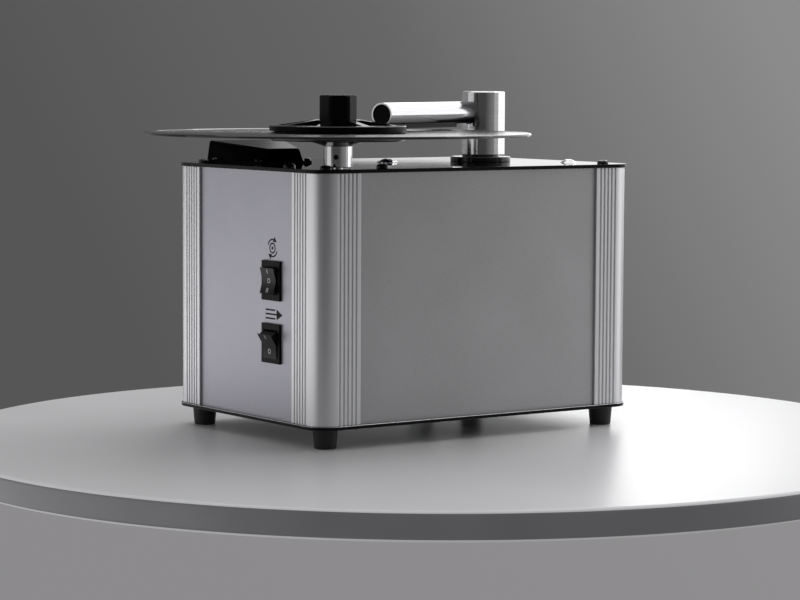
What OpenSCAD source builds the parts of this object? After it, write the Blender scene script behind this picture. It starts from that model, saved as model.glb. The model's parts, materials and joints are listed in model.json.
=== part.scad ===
// Record cleaning machine with a record in place, in millimetres.
// The origin is on the floor under the middle of the case, +Z is up, +X runs along the long
// front face and -Y is the front. The two switches are on the left end.

/* [Case] */
// Length of the base and top plates, along X
case_w = 316; // [300:1:340]
// Depth of the base and top plates, along Y
case_d = 219; // [212:1:240]
// Height of the corner posts and panels between the two plates
post_h = 196; // [190:1:215]
// Thickness of the base and top plates
plate_t = 3; // [2.5:0.1:4]
// Corner radius of the plates
plate_r = 19.4; // [16:0.1:22]
// How far the plates stand out past the posts
plate_over = 1.45; // [1:0.05:2]
// Height of the rubber feet
foot_h = 16; // [14:0.5:22]
// Foot radius at the top
foot_r_top = 10; // [9:0.1:12]
// Foot radius at the floor
foot_r_floor = 8.6; // [8:0.1:10]
// Distance of the corner screws and feet from the plate edges
screw_in = 19.4; // [18.5:0.1:20.5]

/* [Corner posts] */
// Width of each face of a corner post
post_arm = 39; // [38:0.5:44]
// Outer corner radius of a post
post_r = 17.5; // [14:0.5:17.5]
// Wall thickness of a post
post_wall = 3; // [2.5:0.1:3.5]
// Distance of the first groove from the outer face of the post
rib_first = 19.3; // [18.5:0.1:20]
// Spacing of the grooves
rib_pitch = 3.8; // [3:0.1:3.8]
// Number of grooves in each face
rib_count = 5; // [3:1:5]
// Width of a groove
rib_w = 1.5; // [1:0.1:2]
// Depth of a groove
rib_deep = 0.9; // [0.5:0.1:1.2]
// Radius of the screw boss inside a post
boss_r = 5.5; // [4.5:0.1:6]

/* [Panels] */
// Thickness of the four panels
panel_t = 3; // [2:0.1:3.2]
// How far the panels lie behind the faces of the posts
panel_in = 2; // [1.6:0.1:2.4]
// How deep a panel edge sits in its post
slot_deep = 5.7; // [4:0.1:6]

/* [Screws] */
// Radius of the case screws (M5)
screw_r = 2.5; // [2:0.1:2.6]
// Radius of a case screw's button head
screw_head_r = 4.75; // [4.4:0.05:5]
// Height of a case screw's button head
screw_head_h = 2.75; // [2:0.05:3.2]
// Length of a case screw under its head
screw_len = 14; // [10:1:18]
// Radius of the hood screws (M3)
small_screw_r = 1.5; // [1.2:0.1:1.8]
// Radius of a hood screw's head
small_head_r = 2.85; // [2.5:0.05:3.2]
// Height of a hood screw's head
small_head_h = 1.9; // [1.5:0.1:2.4]

/* [Switches] */
// Place of both switches along the left panel
switch_y = -38.6; // [-45:0.1:-30]
// Height of the motor switch
motor_switch_z = 128.7; // [120:0.1:129]
// Height of the vacuum switch
vacuum_switch_z = 79; // [60:0.1:88]
// Width of a switch frame
bezel_w = 26; // [25:0.1:28]
// Height of a switch frame
bezel_h = 31.4; // [30:0.1:34]
// How far a switch frame stands out
bezel_t = 2; // [1.5:0.1:2.5]
// Width of the switch body behind the panel
switch_body_w = 22; // [21.8:0.1:23]
// Height of the switch body behind the panel
switch_body_h = 28; // [26:0.1:29]
// Depth of the switch body behind the panel
switch_body_d = 20; // [18:0.5:24]
// Width of a rocker
rocker_w = 19.6; // [18:0.1:19.7]
// Radius of the round part of a rocker
rocker_r = 10.6; // [10:0.1:11]
// How far the tips of a level rocker stand out of the frame
rocker_tip = 3.8; // [3:0.1:4.5]
// Height of a rocker from its middle to a tip
rocker_reach = 10.3; // [9.5:0.1:10.6]
// Depth of the rocker's hinge pin behind the frame face
rocker_pin_deep = 4; // [3.6:0.1:4.4]
// Radius of the rocker's hinge pins
rocker_pin_r = 1.25; // [1:0.05:1.5]
// Tilt of the two-position rocker in its off place
vacuum_tilt = 16.5; // [10:0.5:16.5]

/* [Exhaust hood] */
// Middle of the hood along X
hood_x = -92.5; // [-94:0.1:-90]
// Distance of the hood's open rear end from the rear edge of the plates
hood_in_y = 11.5; // [10.5:0.5:14.5]
// Length of the hood's shell
hood_len = 56.8; // [50:0.2:58]
// Width of the hood at its closed front
hood_front_w = 34.4; // [30:0.2:40]
// Width of the hood at its open rear
hood_rear_w = 73.2; // [68:0.2:74]
// Height of the hood at the front
hood_front_h = 12; // [10:0.1:14]
// Height of the hood at the rear
hood_rear_h = 17.6; // [16:0.1:20]
// Wall thickness of the hood
hood_wall = 2; // [1.5:0.1:2.4]
// Width of the hood's foot flange
hood_flange = 8; // [7:0.1:8.4]
// Thickness of the hood's foot flange
hood_flange_t = 1.8; // [1.5:0.1:2.2]
// Distance of the rear hood screws from the hood's open end
hood_screw_in = 12; // [11:0.5:14]
// How far the hood's walls lean out towards its foot
hood_draft = 2.4; // [1.5:0.1:2.6]

/* [Platter] */
// Distance of the platter axis from the left edge of the plates
platter_in_x = 39.5; // [39:0.1:41]
// Distance of the platter axis from the front edge of the plates
platter_in_y = 32.6; // [32:0.1:34]
// Radius of the bright spindle hub
hub_r = 11.1; // [10:0.1:13]
// Height of the spindle hub
hub_h = 16.9; // [16:0.1:20]
// Running gap between the hub and the top plate
hub_gap = 0.6; // [0.4:0.1:1]
// Radius of the drive shaft
shaft_r = 4; // [3.5:0.1:4.2]
// Radius of the platter
platter_r = 52.8; // [50:0.1:54]
// Thickness of the platter at its rim
platter_rim = 4.6; // [4:0.1:6]
// Height of the cone under the platter
platter_cone = 3.9; // [3:0.1:5]
// Radius of the stud that centres the record
stud_r = 3.5; // [3.3:0.05:3.55]
// Height of the stud above the platter
stud_up = 24; // [20:0.5:26]

/* [Record] */
// Radius of a twelve-inch record
record_r = 151; // [150:0.1:151.5]
// Thickness of the record at its label and rim
record_t = 2; // [1.6:0.1:2.4]
// Radius of the centre hole
record_hole_r = 3.62; // [3.6:0.01:3.7]
// Radius of the label area
label_r = 50; // [48:0.5:51]

/* [Clamp] */
// Radius of the clamp disc
clamp_r = 53.7; // [52:0.1:55]
// Thickness of the clamp disc at its rim
clamp_rim = 4.4; // [4:0.1:5]
// Height of the clamp disc in the middle
clamp_mid = 9; // [8:0.1:10]
// Number of pockets in the clamp disc
clamp_pockets = 8; // [6:1:10]
// Width of a rib between two pockets
clamp_rib = 6; // [4:0.5:8]
// Thickness of the rubber seal under the clamp
seal_t = 1; // [0.8:0.1:1.5]
// Width of the rubber seal
seal_w = 6; // [4:0.5:8]
// How far the rubber seal lies in from the clamp's rim
seal_in = 3.7; // [2:0.1:5]
// Radius of the clamp knob over its rounded corners
knob_r = 14.5; // [13:0.1:16]
// Height of the clamp knob
knob_h = 19; // [17.5:0.1:22]

/* [Suction arm] */
// Distance of the arm's pivot from the right edge of the plates
arm_in_x = 79; // [77:0.1:81]
// Distance of the arm's pivot from the middle of the case along Y
arm_y = 0; // [-2:0.1:2]
// Radius of the arm post
arm_post_r = 18.2; // [17.5:0.1:18.2]
// How far the post's middle lies behind the pivot
arm_post_back = 4.2; // [3.5:0.1:4.2]
// Height of the arm post
arm_post_h = 53.2; // [52:0.1:56]
// Radius of the suction tube
tube_r = 9.5; // [9:0.1:9.8]
// How far the tube's axis passes beside the pivot, on the rear side
tube_side = 7; // [6:0.1:7]
// Wall thickness of the suction tube
tube_wall = 1.2; // [1:0.1:1.3]
// Distance of the tube's open end from the platter axis
tip_in = 64.5; // [61:0.1:66]
// Gap between the felt lips and the record while the arm rests
lip_gap = 1.5; // [1.5:0.1:2]
// Thickness of the felt lips
lip_t = 2.8; // [2.5:0.1:3]
// Width across both felt lips
lip_w = 8; // [7:0.1:8]
// Width of the suction slot
slot_w = 2; // [1.5:0.1:2.5]
// Distance of the felt lips' inner end from the arm's pivot
lip_start = 34.9; // [30:0.1:40]
// Distance of the suction slot's inner end from the arm's pivot
slot_start = 64.9; // [60:0.1:70]
// Outer radius of the upright pick-up tube
pickup_r = 11; // [10.8:0.1:11]
// Wall thickness of the upright pick-up tube
pickup_wall = 1.5; // [1.2:0.1:1.8]
// How far the arm can be lifted by hand
lift_up = 15; // [10:0.5:15]
// How far suction pulls the arm down
lift_down = 1.3; // [1:0.1:1.3]
// Radius of the black bush under the post
bush_r = 15.5; // [15.3:0.1:15.6]
// Length of the bush
bush_len = 30; // [28:0.5:32]
// Radius of the collar on the top plate
collar_r = 25.4; // [24:0.1:27]
// Height of the collar
collar_h = 4.3; // [4:0.1:5]
// Height of the nut that holds the collar under the top plate
nut_h = 8; // [6:0.5:10]
// How far the nut stands out past the collar's thread
nut_over = 7; // [5:0.5:8]
// Gap between the collar and the post
neck_gap = 1.5; // [1.5:0.1:2]

/* [Tank] */
// Width of the waste tank, along X
tank_w = 100; // [94:0.5:101]
// Gap between the waste tank and the front and rear panels
tank_gap = 6.05; // [5:0.05:9]
// Height of the waste tank without its lid
tank_h = 126; // [124:0.5:127]
// Wall thickness of the tank
tank_wall = 2.5; // [2:0.1:3]
// Distance of the tank from the right edge of the plates
tank_in_x = 28; // [27:0.5:29]

/* [Vacuum unit] */
// Middle of the vacuum motor along X
vac_x = -62; // [-64:0.5:-60]
// Distance of the vacuum motor's axis from the rear edge of the plates
vac_in_y = 63.5; // [62.5:0.5:65.5]
// Radius of the vacuum motor
vac_motor_r = 40; // [36:0.5:42]
// Height of the vacuum motor
vac_motor_h = 50; // [46:0.5:50]
// Height of its rubber mounts
vac_mount_h = 7; // [5:0.5:8]
// Radius of the fan housing
fan_r = 50; // [48:0.5:51]
// Height of the fan housing
fan_h = 30; // [28:0.5:30]
// Outer radius of the air tube into the fan
air_r = 13.5; // [13:0.1:13.6]
// Wall thickness of the air tubes
air_wall = 2; // [1.5:0.1:2.4]
// Bend radius of the inlet elbow
elbow_bend = 18; // [17:0.5:19]

/* [Drive motor] */
// Radius of the drive motor and its gearbox
drive_r = 30; // [27:0.5:30]
// Height of the gearbox
gearbox_h = 34; // [30:0.5:34]
// Height of the motor under the gearbox
drive_motor_h = 25; // [22:0.5:25]
// How far the gearbox lies back from the output shaft along X
drive_off_x = 9; // [8:0.1:10]
// How far the gearbox lies back from the output shaft along Y
drive_off_y = 12; // [11:0.1:13]
// Radius of the circle of bracket screws around the shaft
bracket_circle = 42.5; // [41:0.1:43]

/* [Rear hose and inlet] */
// Outer radius of the level hose
hose_r = 3; // [2.8:0.1:3.2]
// Bore radius of the level hose
hose_bore_r = 2; // [1.8:0.1:2.2]
// Place of the level hose along X
hose_x = 90; // [85:0.5:95]
// Height of the top end of the level hose
hose_top_z = 190; // [170:1:200]
// Height of a hose clip
clip_h = 8; // [6:0.5:10]
// Wall of a hose clip around the hose
clip_wall = 1.6; // [1.2:0.1:2]
// Distance of a clip's screw from the hose
clip_out = 9; // [8.5:0.1:11]
// Place of the power inlet along X
inlet_x = 0; // [-4:0.5:4]
// Height of the middle of the power inlet
inlet_z = 52; // [48:0.5:60]

/* [Hidden] */
// Running and sliding clearances
slip = 0.05;
thread_gap = 0.05;
slot_gap = 0.05;
face_gap = 0.2;
eps = 0.01;
$fn = 64;

// Levels from the floor up
floor_z = foot_h + plate_t;
roof_z = floor_z + post_h;
deck_z = roof_z + plate_t;
outer_x = case_w / 2 - plate_over;
outer_y = case_d / 2 - plate_over;
panel_x = outer_x - panel_in;
panel_y = outer_y - panel_in;
hood_rear_y = case_d / 2 - hood_in_y;
screw_x = case_w / 2 - screw_in;
screw_y = case_d / 2 - screw_in;
boss_c = screw_in - plate_over;
lip_web = 1.6;
web_t = 2.5;

// Platter stack
spin_x = -case_w / 2 + platter_in_x;
spin_y = -case_d / 2 + platter_in_y;
hub_z = deck_z + hub_gap;
platter_z = hub_z + hub_h;
rim_z = platter_z + platter_cone;
record_z = rim_z + platter_rim;
record_top = record_z + record_t;
clamp_z = record_top + seal_t;
knob_z = clamp_z + clamp_mid;
stud_top = record_z + stud_up;
stud_root_z = platter_z - 5.5;
shaft_top_z = stud_root_z - 0.5;
grub_z = deck_z + 8.8;
grub_turn = -131.8;
knob_turn = -29;

// Suction arm: its own X axis points from the pivot to the platter axis
pivot_x = case_w / 2 - arm_in_x;
pivot_y = arm_y;
reach = sqrt(pow(spin_x - pivot_x, 2) + pow(spin_y - pivot_y, 2));
arm_turn = atan2(spin_y - pivot_y, spin_x - pivot_x) + asin(tube_side / reach);
collar_top = deck_z + collar_h;
post_z = collar_top + neck_gap;
flat_h = tube_r - tube_wall + 0.4;
tube_z = record_top + lip_gap + lip_t + flat_h;
tube_start = -2;
tube_end = sqrt(reach * reach - tube_side * tube_side) - tip_in;
lip_end = tube_end - 1.5;
slot_end = tube_end - 4;
bush_z = post_z - bush_len;
ring_t = 2;
ring_z = bush_z - ring_t;
spring_len = 11.8;
guide_z = ring_z - spring_len;
guide_lip = 4;
guide_r = 19.5;
guide_bottom = guide_z - guide_lip;
pickup_top = tube_z + 7;
stop_h = 3;
stop_z = guide_bottom - lift_up - stop_h - slip;

// Tank
tank_x = case_w / 2 - tank_in_x - tank_w;
tank_top = floor_z + tank_h;
tank_d = 2 * (panel_y - panel_t - tank_gap);
lid_t = 4;
lid_boss = 4;
pickup_bottom = tank_top - 25;
tank_r = 14;

// Vacuum unit
vac_y = case_d / 2 - vac_in_y;
vac_z = floor_z + vac_mount_h;
fan_z = vac_z + vac_motor_h;
fan_wall = 2;
air_in_r = air_r - air_wall;
air_z = fan_z + fan_h + 3 + elbow_bend;
duct_dx = -22;
duct_dy = 22;
duct_r = 15;
impeller_r = fan_r - 6;
impeller_z = fan_z + 6;
impeller_h = 14;
vac_shaft_r = 4;

// Drive motor
bearing_h = 7;
bearing_r = 11;
bracket_t = 4;
bracket_boss = 5;
gearbox_top = roof_z - bracket_t - bracket_boss;
gearbox_x = spin_x + drive_off_x;
gearbox_y = spin_y + drive_off_y;
bracket_angles = [0, 60, 120];

// Rear hose: under the base plate, then up the rear panel
hose_y = case_d / 2 + hose_r + 1;
hose_z = foot_h - hose_r - 3;
hose_bend = 8;
elbow_y = hose_y - hose_bend - 16;
clip_heights = [60, 165];

// Small pieces on the top plate
level_x = -9;
level_y = 12;
level_r = 8.6;
level_seat = 0.6;
plug_x = 126.3;
plug_y = -60;
plug_r = 7;

// Switch frame face and hinge line, measured from the middle of the case
frame_x = panel_x + bezel_t;
hinge_x = frame_x - rocker_pin_deep;
rocker_gap = 0.2;

// Wires inside the case, each along its own points
wire_r = 2.5;
inlet_route = [[0, 85.9, 40], [0, 78, 40], [0, 62, 35], [4, 40, 28.5], [8, 10, 27], [7, -18, 31],
    [2, -34, 41], [-3, -42, 46], [-4, -43, 42], [-4, -43, 35.1]];
motor_route = [[-100, -58, 146.9], [-100, -58, 138], [-94, -55, 115], [-84, -53, 92], [-70, -54, 74],
    [-55, -58, 64], [-44, -60, 60], [-40, -60, 56], [-40, -60, 50.1]];
motor_switch_route = [[-126.4, -43, 128.7], [-119, -43, 128.7], [-113, -47, 117], [-106, -55, 98],
    [-94, -62, 80], [-78, -67, 67], [-60, -70, 60], [-42, -69, 59], [-36, -69, 56], [-36, -69, 50.1]];
vacuum_switch_route = [[-126.4, -34, 79], [-118, -34, 79], [-102, -36, 67], [-84, -42, 59],
    [-66, -48, 58], [-50, -51, 59], [-45, -51, 56], [-45, -51, 50.1]];
vacuum_route = [[-62, 5.8, 50], [-62, -4, 50], [-54, -18, 50], [-40, -30, 49], [-24, -38, 47],
    [-15, -42, 45], [-12, -43, 41], [-12, -43, 35.1]];

// Circuit board, between the motor side and the tank
board_w = 74;
board_d = 56;
board_t = 1.6;
board_up = 6;
core_w = 30;
core_d = 28;
core_h = 24;
can_r = 9;
can_h = 30;
block_w = 22;
block_d = 10;
block_h = 9;
board_x = tank_x - 16 - board_w;
board_y = -(panel_y - panel_t - 15.05);

// Power inlet
inlet_w = 28;
inlet_h = 48;
inlet_face = 3;
inlet_deep = 20;
drawer_w = 20;
drawer_h = 7;
drawer_z = inlet_z + 15.5;

// Shared shapes

module round_rect(w, d, r) {
    square([w - 2 * r, d], center = true);
    square([w, d - 2 * r], center = true);
    for (x = [-1, 1], y = [-1, 1])
        translate([x * (w / 2 - r), y * (d / 2 - r)]) circle(r);
}

module at_corners() {
    for (x = [-1, 1], y = [-1, 1])
        translate([x * screw_x, y * screw_y, 0]) children();
}

module at_spindle() {
    translate([spin_x, spin_y, 0]) children();
}

// The arm's own frame: origin on the pivot, +X towards the platter axis
module at_arm() {
    translate([pivot_x, pivot_y, 0]) rotate([0, 0, arm_turn]) children();
}

// The tube's axis lies beside the pivot and points at the platter axis
module at_tube() {
    at_arm() translate([0, -tube_side, 0]) children();
}

module at_bracket_screws() {
    for (t = bracket_angles)
        translate([spin_x + bracket_circle * cos(t), spin_y + bracket_circle * sin(t), 0]) children();
}

module ring(r_out, r_in, h) {
    difference() {
        cylinder(r = r_out, h = h);
        translate([0, 0, -eps]) cylinder(r = r_in, h = h + 2 * eps);
    }
}

// Button-head screw with its head upwards, seated at z = 0
module button_screw(r, head_r, head_h, len, key) {
    difference() {
        union() {
            translate([0, 0, -len]) cylinder(r = r, h = len);
            rotate_extrude() polygon([[0, 0], [head_r, 0], [head_r, 0.35 * head_h],
                [0.85 * head_r, 0.75 * head_h], [0.55 * head_r, head_h], [0, head_h]]);
        }
        translate([0, 0, 0.35 * head_h]) cylinder(r = key, h = head_h, $fn = 6);
    }
}

// Tube of n sides swept along a list of points
function unit(v) = v / norm(v);
function heading(p, i) = unit(p[min(i + 1, len(p) - 1)] - p[max(i - 1, 0)]);
function side_dir(t) = unit(cross(t, abs(t[2]) < 0.9 ? [0, 0, 1] : [0, 1, 0]));
function ring_at(p, i, r, n) = let (t = heading(p, i), a = side_dir(t), b = cross(t, a))
    [for (k = [0 : n - 1]) p[i] + r * (cos(360 * k / n) * a + sin(360 * k / n) * b)];

module sweep_tube(p, r, n) {
    m = len(p);
    body = [for (i = [0 : m - 1]) each ring_at(p, i, r, n)];
    caps = concat([p[0]], [p[m - 1]]);
    points = concat(body, caps);
    sides = [for (i = [0 : m - 2], k = [0 : n - 1]) each [
        [i * n + k, i * n + (k + 1) % n, (i + 1) * n + k],
        [i * n + (k + 1) % n, (i + 1) * n + (k + 1) % n, (i + 1) * n + k]]];
    first = [for (k = [0 : n - 1]) [m * n, (k + 1) % n, k]];
    last = [for (k = [0 : n - 1]) [m * n + 1, (m - 1) * n + k, (m - 1) * n + (k + 1) % n]];
    polyhedron(points = points, faces = concat(sides, first, last), convexity = 6);
}

// Case

module base_plate() {
    color("#1c1c1f") difference() {
        translate([0, 0, foot_h]) linear_extrude(plate_t) round_rect(case_w, case_d, plate_r);
        at_corners() translate([0, 0, foot_h - eps]) cylinder(r = screw_r + 0.2, h = plate_t + 1);
        translate([hose_x, elbow_y, foot_h - eps]) cylinder(r = 5.2, h = plate_t + 1);
    }
}

module top_plate() {
    color("#17171a") difference() {
        translate([0, 0, roof_z]) linear_extrude(plate_t) round_rect(case_w, case_d, plate_r);
        translate([0, 0, roof_z - eps]) {
            at_corners() cylinder(r = screw_r + 0.2, h = plate_t + 1);
            at_bracket_screws() cylinder(r = screw_r + 0.2, h = plate_t + 1);
            at_spindle() cylinder(r = shaft_r + 2, h = plate_t + 1);
            translate([pivot_x, pivot_y, 0]) cylinder(r = guide_r + 0.1, h = plate_t + 1);
            translate([vac_x + duct_dx, vac_y + duct_dy, 0]) cylinder(r = duct_r - 2, h = plate_t + 1);
            at_hood_screws() cylinder(r = small_screw_r + 0.1, h = plate_t + 1);
            translate([level_x, level_y, 0]) cylinder(r = 5.1, h = plate_t + 1);
            translate([plug_x, plug_y, 0]) cylinder(r = 4.1, h = plate_t + 1);
        }
    }
}

module corner_shape(s, r) {
    translate([r, 0]) square([s - r, s]);
    translate([0, r]) square([s, s - r]);
    translate([r, r]) circle(r);
}

// Section of one post, with its outer corner at the origin
module post_section() {
    lip = panel_in + panel_t + slot_gap + lip_web;
    lip_start = post_arm - slot_deep - lip_web;
    difference() {
        union() {
            difference() {
                corner_shape(post_arm, post_r);
                translate([post_wall, post_wall]) corner_shape(post_arm, post_r - post_wall);
            }
            translate([lip_start, 0]) square([post_arm - lip_start, lip]);
            translate([0, lip_start]) square([lip, post_arm - lip_start]);
            translate([boss_c, boss_c]) circle(boss_r);
            translate([boss_c - web_t / 2, post_wall / 2]) square([web_t, boss_c - post_wall / 2]);
            translate([post_wall / 2, boss_c - web_t / 2]) square([boss_c - post_wall / 2, web_t]);
        }
        translate([boss_c, boss_c]) circle(screw_r + thread_gap);
        for (s = [0, 1]) mirror(s == 0 ? [0, 0] : [1, -1]) {
            translate([post_arm - slot_deep, panel_in - slot_gap])
                square([slot_deep + 1, panel_t + 2 * slot_gap]);
            for (i = [0 : rib_count - 1])
                translate([rib_first + i * rib_pitch - rib_w / 2, -1]) square([rib_w, rib_deep + 1]);
        }
    }
}

module corner_post(side_x, side_y) {
    color("#c9cacd") translate([0, 0, floor_z])
        mirror([side_x > 0 ? 1 : 0, 0, 0]) mirror([0, side_y > 0 ? 1 : 0, 0])
            translate([-outer_x, -outer_y, 0]) linear_extrude(post_h) post_section();
}

module long_panel() {
    half = outer_x - post_arm + slot_deep - face_gap;
    translate([-half, panel_y - panel_t, floor_z]) cube([2 * half, panel_t, post_h]);
}

module end_panel() {
    half = outer_y - post_arm + slot_deep - face_gap;
    translate([panel_x - panel_t, -half, floor_z]) cube([panel_t, 2 * half, post_h]);
}

module front_panel() {
    color("#85868b") mirror([0, 1, 0]) long_panel();
}

module rear_panel() {
    color("#85868b") difference() {
        long_panel();
        translate([inlet_x - 12, panel_y - panel_t - 1, inlet_z - 22]) cube([24, panel_t + 2, 44]);
        for (z = clip_heights)
            translate([hose_x - clip_out, panel_y + 1, z]) rotate([90, 0, 0])
                cylinder(r = small_screw_r + thread_gap, h = panel_t + 2);
    }
}

module left_panel() {
    color("#a3a2ac") difference() {
        mirror([1, 0, 0]) end_panel();
        for (z = [motor_switch_z, vacuum_switch_z])
            translate([-panel_x - 1, switch_y, z])
                translate([0, -switch_body_w / 2 - 0.1, -switch_body_h / 2 - 0.1])
                    cube([panel_t + 2, switch_body_w + 0.2, switch_body_h + 0.2]);
    }
}

module right_panel() {
    color("#8a8b90") end_panel();
}

module feet() {
    color("#161617") at_corners() difference() {
        cylinder(r1 = foot_r_floor, r2 = foot_r_top, h = foot_h);
        translate([0, 0, -eps]) cylinder(r = screw_head_r + 0.5, h = foot_h - 3 + eps);
        cylinder(r = screw_r + 0.2, h = foot_h + 1);
    }
}

module case_screw() {
    button_screw(screw_r, screw_head_r, screw_head_h, screw_len, 1.6);
}

module case_screws() {
    color("#222225") {
        translate([0, 0, deck_z]) at_corners() case_screw();
        translate([0, 0, deck_z]) at_bracket_screws()
            button_screw(screw_r, screw_head_r, screw_head_h, plate_t + bracket_t, 1.6);
        at_corners() translate([0, 0, foot_h - 3]) mirror([0, 0, 1]) case_screw();
    }
}

// Exhaust hood

function hood_half(y) = (hood_front_w + (hood_rear_w - hood_front_w)
    * (y - hood_rear_y + hood_len) / hood_len) / 2;

module at_hood_screws() {
    for (s = [-1, 1]) {
        translate([hood_x + s * (hood_front_w / 2 + hood_draft + small_head_r + 1.55),
            hood_rear_y - hood_len + 1, 0]) children();
        translate([hood_x + s * (hood_half(hood_rear_y - hood_screw_in) + hood_draft + small_head_r + 0.35),
            hood_rear_y - hood_screw_in, 0]) children();
    }
}

// Wedge with rounded edges, drawn in by wall on every side; it runs on past the rear by open
module hood_wedge(wall, open) {
    edge = 2.4 - min(wall, 1.9);
    draft = hood_draft;
    front = hood_rear_y - hood_len + wall;
    rear = hood_rear_y + open;
    hull() for (s = [-1, 1]) {
        translate([hood_x + s * (hood_front_w / 2 - wall - edge), front + edge, hood_front_h - wall - edge])
            sphere(edge, $fn = 20);
        translate([hood_x + s * (hood_front_w / 2 - wall + draft - edge), front - draft + edge, 0])
            cylinder(r = edge, h = 0.1, $fn = 20);
        translate([hood_x + s * (hood_half(rear) - wall - edge), rear - eps, hood_rear_h - wall - edge])
            rotate([90, 0, 0]) cylinder(r = edge, h = 0.1, $fn = 20);
        translate([hood_x + s * (hood_half(rear) - wall + draft - 0.05), rear - 0.05, 0])
            cylinder(r = 0.05, h = 0.1, $fn = 16);
    }
}

module hood_foot() {
    r = 5;
    front = hood_rear_y - hood_len - hood_flange;
    rear = hood_rear_y + 6;
    hull() for (s = [-1, 1]) {
        translate([hood_x + s * (hood_front_w / 2 + hood_flange - r), front + r]) circle(r, $fn = 32);
        translate([hood_x + s * (hood_rear_w / 2 + hood_flange + 1 - r), rear - r]) circle(r, $fn = 32);
    }
}

module exhaust_hood() {
    color("#141418") translate([0, 0, deck_z]) difference() {
        union() {
            linear_extrude(hood_flange_t) hood_foot();
            hood_wedge(0, 0);
        }
        translate([0, 0, -2 * eps]) hood_wedge(hood_wall, 8);
        at_hood_screws() translate([0, 0, -1]) cylinder(r = small_screw_r + 0.1, h = 5);
        at_corners() translate([0, 0, -1]) cylinder(r = screw_head_r + 0.5, h = 5);
    }
}

module hood_screws() {
    color("#1a1a1c") translate([0, 0, deck_z + hood_flange_t]) at_hood_screws()
        button_screw(small_screw_r, small_head_r, small_head_h, hood_flange_t + plate_t, 1);
}

// Switches: the hinge line is along Y, and out of the panel is -X

module switch_body(z) {
    hole = rocker_w + 2 * rocker_gap;
    color("#19191b") translate([-hinge_x, switch_y, z]) difference() {
        union() {
            translate([-rocker_pin_deep, -bezel_w / 2, -bezel_h / 2]) cube([bezel_t, bezel_w, bezel_h]);
            translate([-rocker_pin_deep + bezel_t - eps, -switch_body_w / 2, -switch_body_h / 2])
                cube([switch_body_d, switch_body_w, switch_body_h]);
            for (s = [-1, 1], t = [-8, 0, 8])
                translate([-rocker_pin_deep + bezel_t + switch_body_d - 1, s * 5 - 0.4, t - 3])
                    cube([9, 0.8, 6]);
        }
        rotate([90, 0, 0]) cylinder(r = rocker_r + 0.2, h = hole, center = true);
        translate([-10, -hole / 2, -rocker_r - 0.2]) cube([10, hole, 2 * rocker_r + 0.4]);
        rotate([90, 0, 0]) cylinder(r = rocker_pin_r + slip, h = switch_body_w + 1, center = true);
    }
}

// Side outline of a level rocker about its hinge, with X towards the inside
module rocker_section() {
    tip = rocker_pin_deep + rocker_tip;
    valley = rocker_pin_deep + 1.2;
    lip_a = 40;
    intersection() {
        circle(rocker_r);
        polygon([[4, -12], [4, 12], [-rocker_r * sin(lip_a), 12], [-valley, 0],
            [-rocker_r * sin(lip_a), -12]]);
    }
    polygon([[-valley, 0], [-tip, rocker_reach], [-rocker_r * sin(lip_a), rocker_r * cos(lip_a)],
        [0, 0], [-rocker_r * sin(lip_a), -rocker_r * cos(lip_a)], [-tip, -rocker_reach]]);
}

module rocker(z, tilt) {
    color("#26262a") translate([-hinge_x, switch_y, z]) rotate([0, tilt, 0]) {
        rotate([90, 0, 0]) translate([0, 0, -rocker_w / 2]) linear_extrude(rocker_w) rocker_section();
        rotate([90, 0, 0]) cylinder(r = rocker_pin_r, h = switch_body_w - 0.2, center = true);
    }
}

// Platter drive

module drive_gearbox() {
    color("#b9babd") difference() {
        translate([gearbox_x, gearbox_y, gearbox_top - gearbox_h]) cylinder(r = drive_r, h = gearbox_h);
        at_spindle() translate([0, 0, gearbox_top - gearbox_h + 6])
            cylinder(r = shaft_r + slip, h = gearbox_h);
    }
}

module drive_motor() {
    color("#8f9095") translate([gearbox_x, gearbox_y, gearbox_top - gearbox_h - drive_motor_h])
        cylinder(r = drive_r - 0.5, h = drive_motor_h);
}

module motor_bracket() {
    color("#a9aaad") difference() {
        union() {
            translate([0, 0, roof_z - bracket_t]) linear_extrude(bracket_t) hull() {
                at_spindle() circle(17, $fn = 32);
                translate([gearbox_x, gearbox_y]) circle(drive_r - 4, $fn = 32);
                for (t = bracket_angles)
                    translate([spin_x + bracket_circle * cos(t), spin_y + bracket_circle * sin(t)])
                        circle(7, $fn = 32);
            }
            at_spindle() translate([0, 0, gearbox_top]) cylinder(r = 14.5, h = bracket_boss + 1);
            translate([gearbox_x + 14, gearbox_y + 8, gearbox_top]) cylinder(r = 5, h = bracket_boss + 1);
            translate([gearbox_x - 12, gearbox_y + 16, gearbox_top]) cylinder(r = 5, h = bracket_boss + 1);
        }
        at_spindle() translate([0, 0, gearbox_top - 1]) cylinder(r = shaft_r + 2, h = 20);
        at_spindle() translate([0, 0, roof_z - bearing_h]) cylinder(r = bearing_r, h = bearing_h + 1);
        at_bracket_screws() translate([0, 0, roof_z - bracket_t - 1])
            cylinder(r = screw_r + thread_gap, h = bracket_t + 2);
    }
}

module spindle_bearing() {
    color("#c4c5c8") at_spindle() translate([0, 0, roof_z - bearing_h])
        ring(bearing_r - 0.02, shaft_r + slip, bearing_h);
}

module drive_shaft() {
    bottom = gearbox_top - gearbox_h + 6.3;
    color("#c8c9cc") at_spindle() translate([0, 0, bottom]) cylinder(r = shaft_r, h = shaft_top_z - bottom);
}

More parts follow.
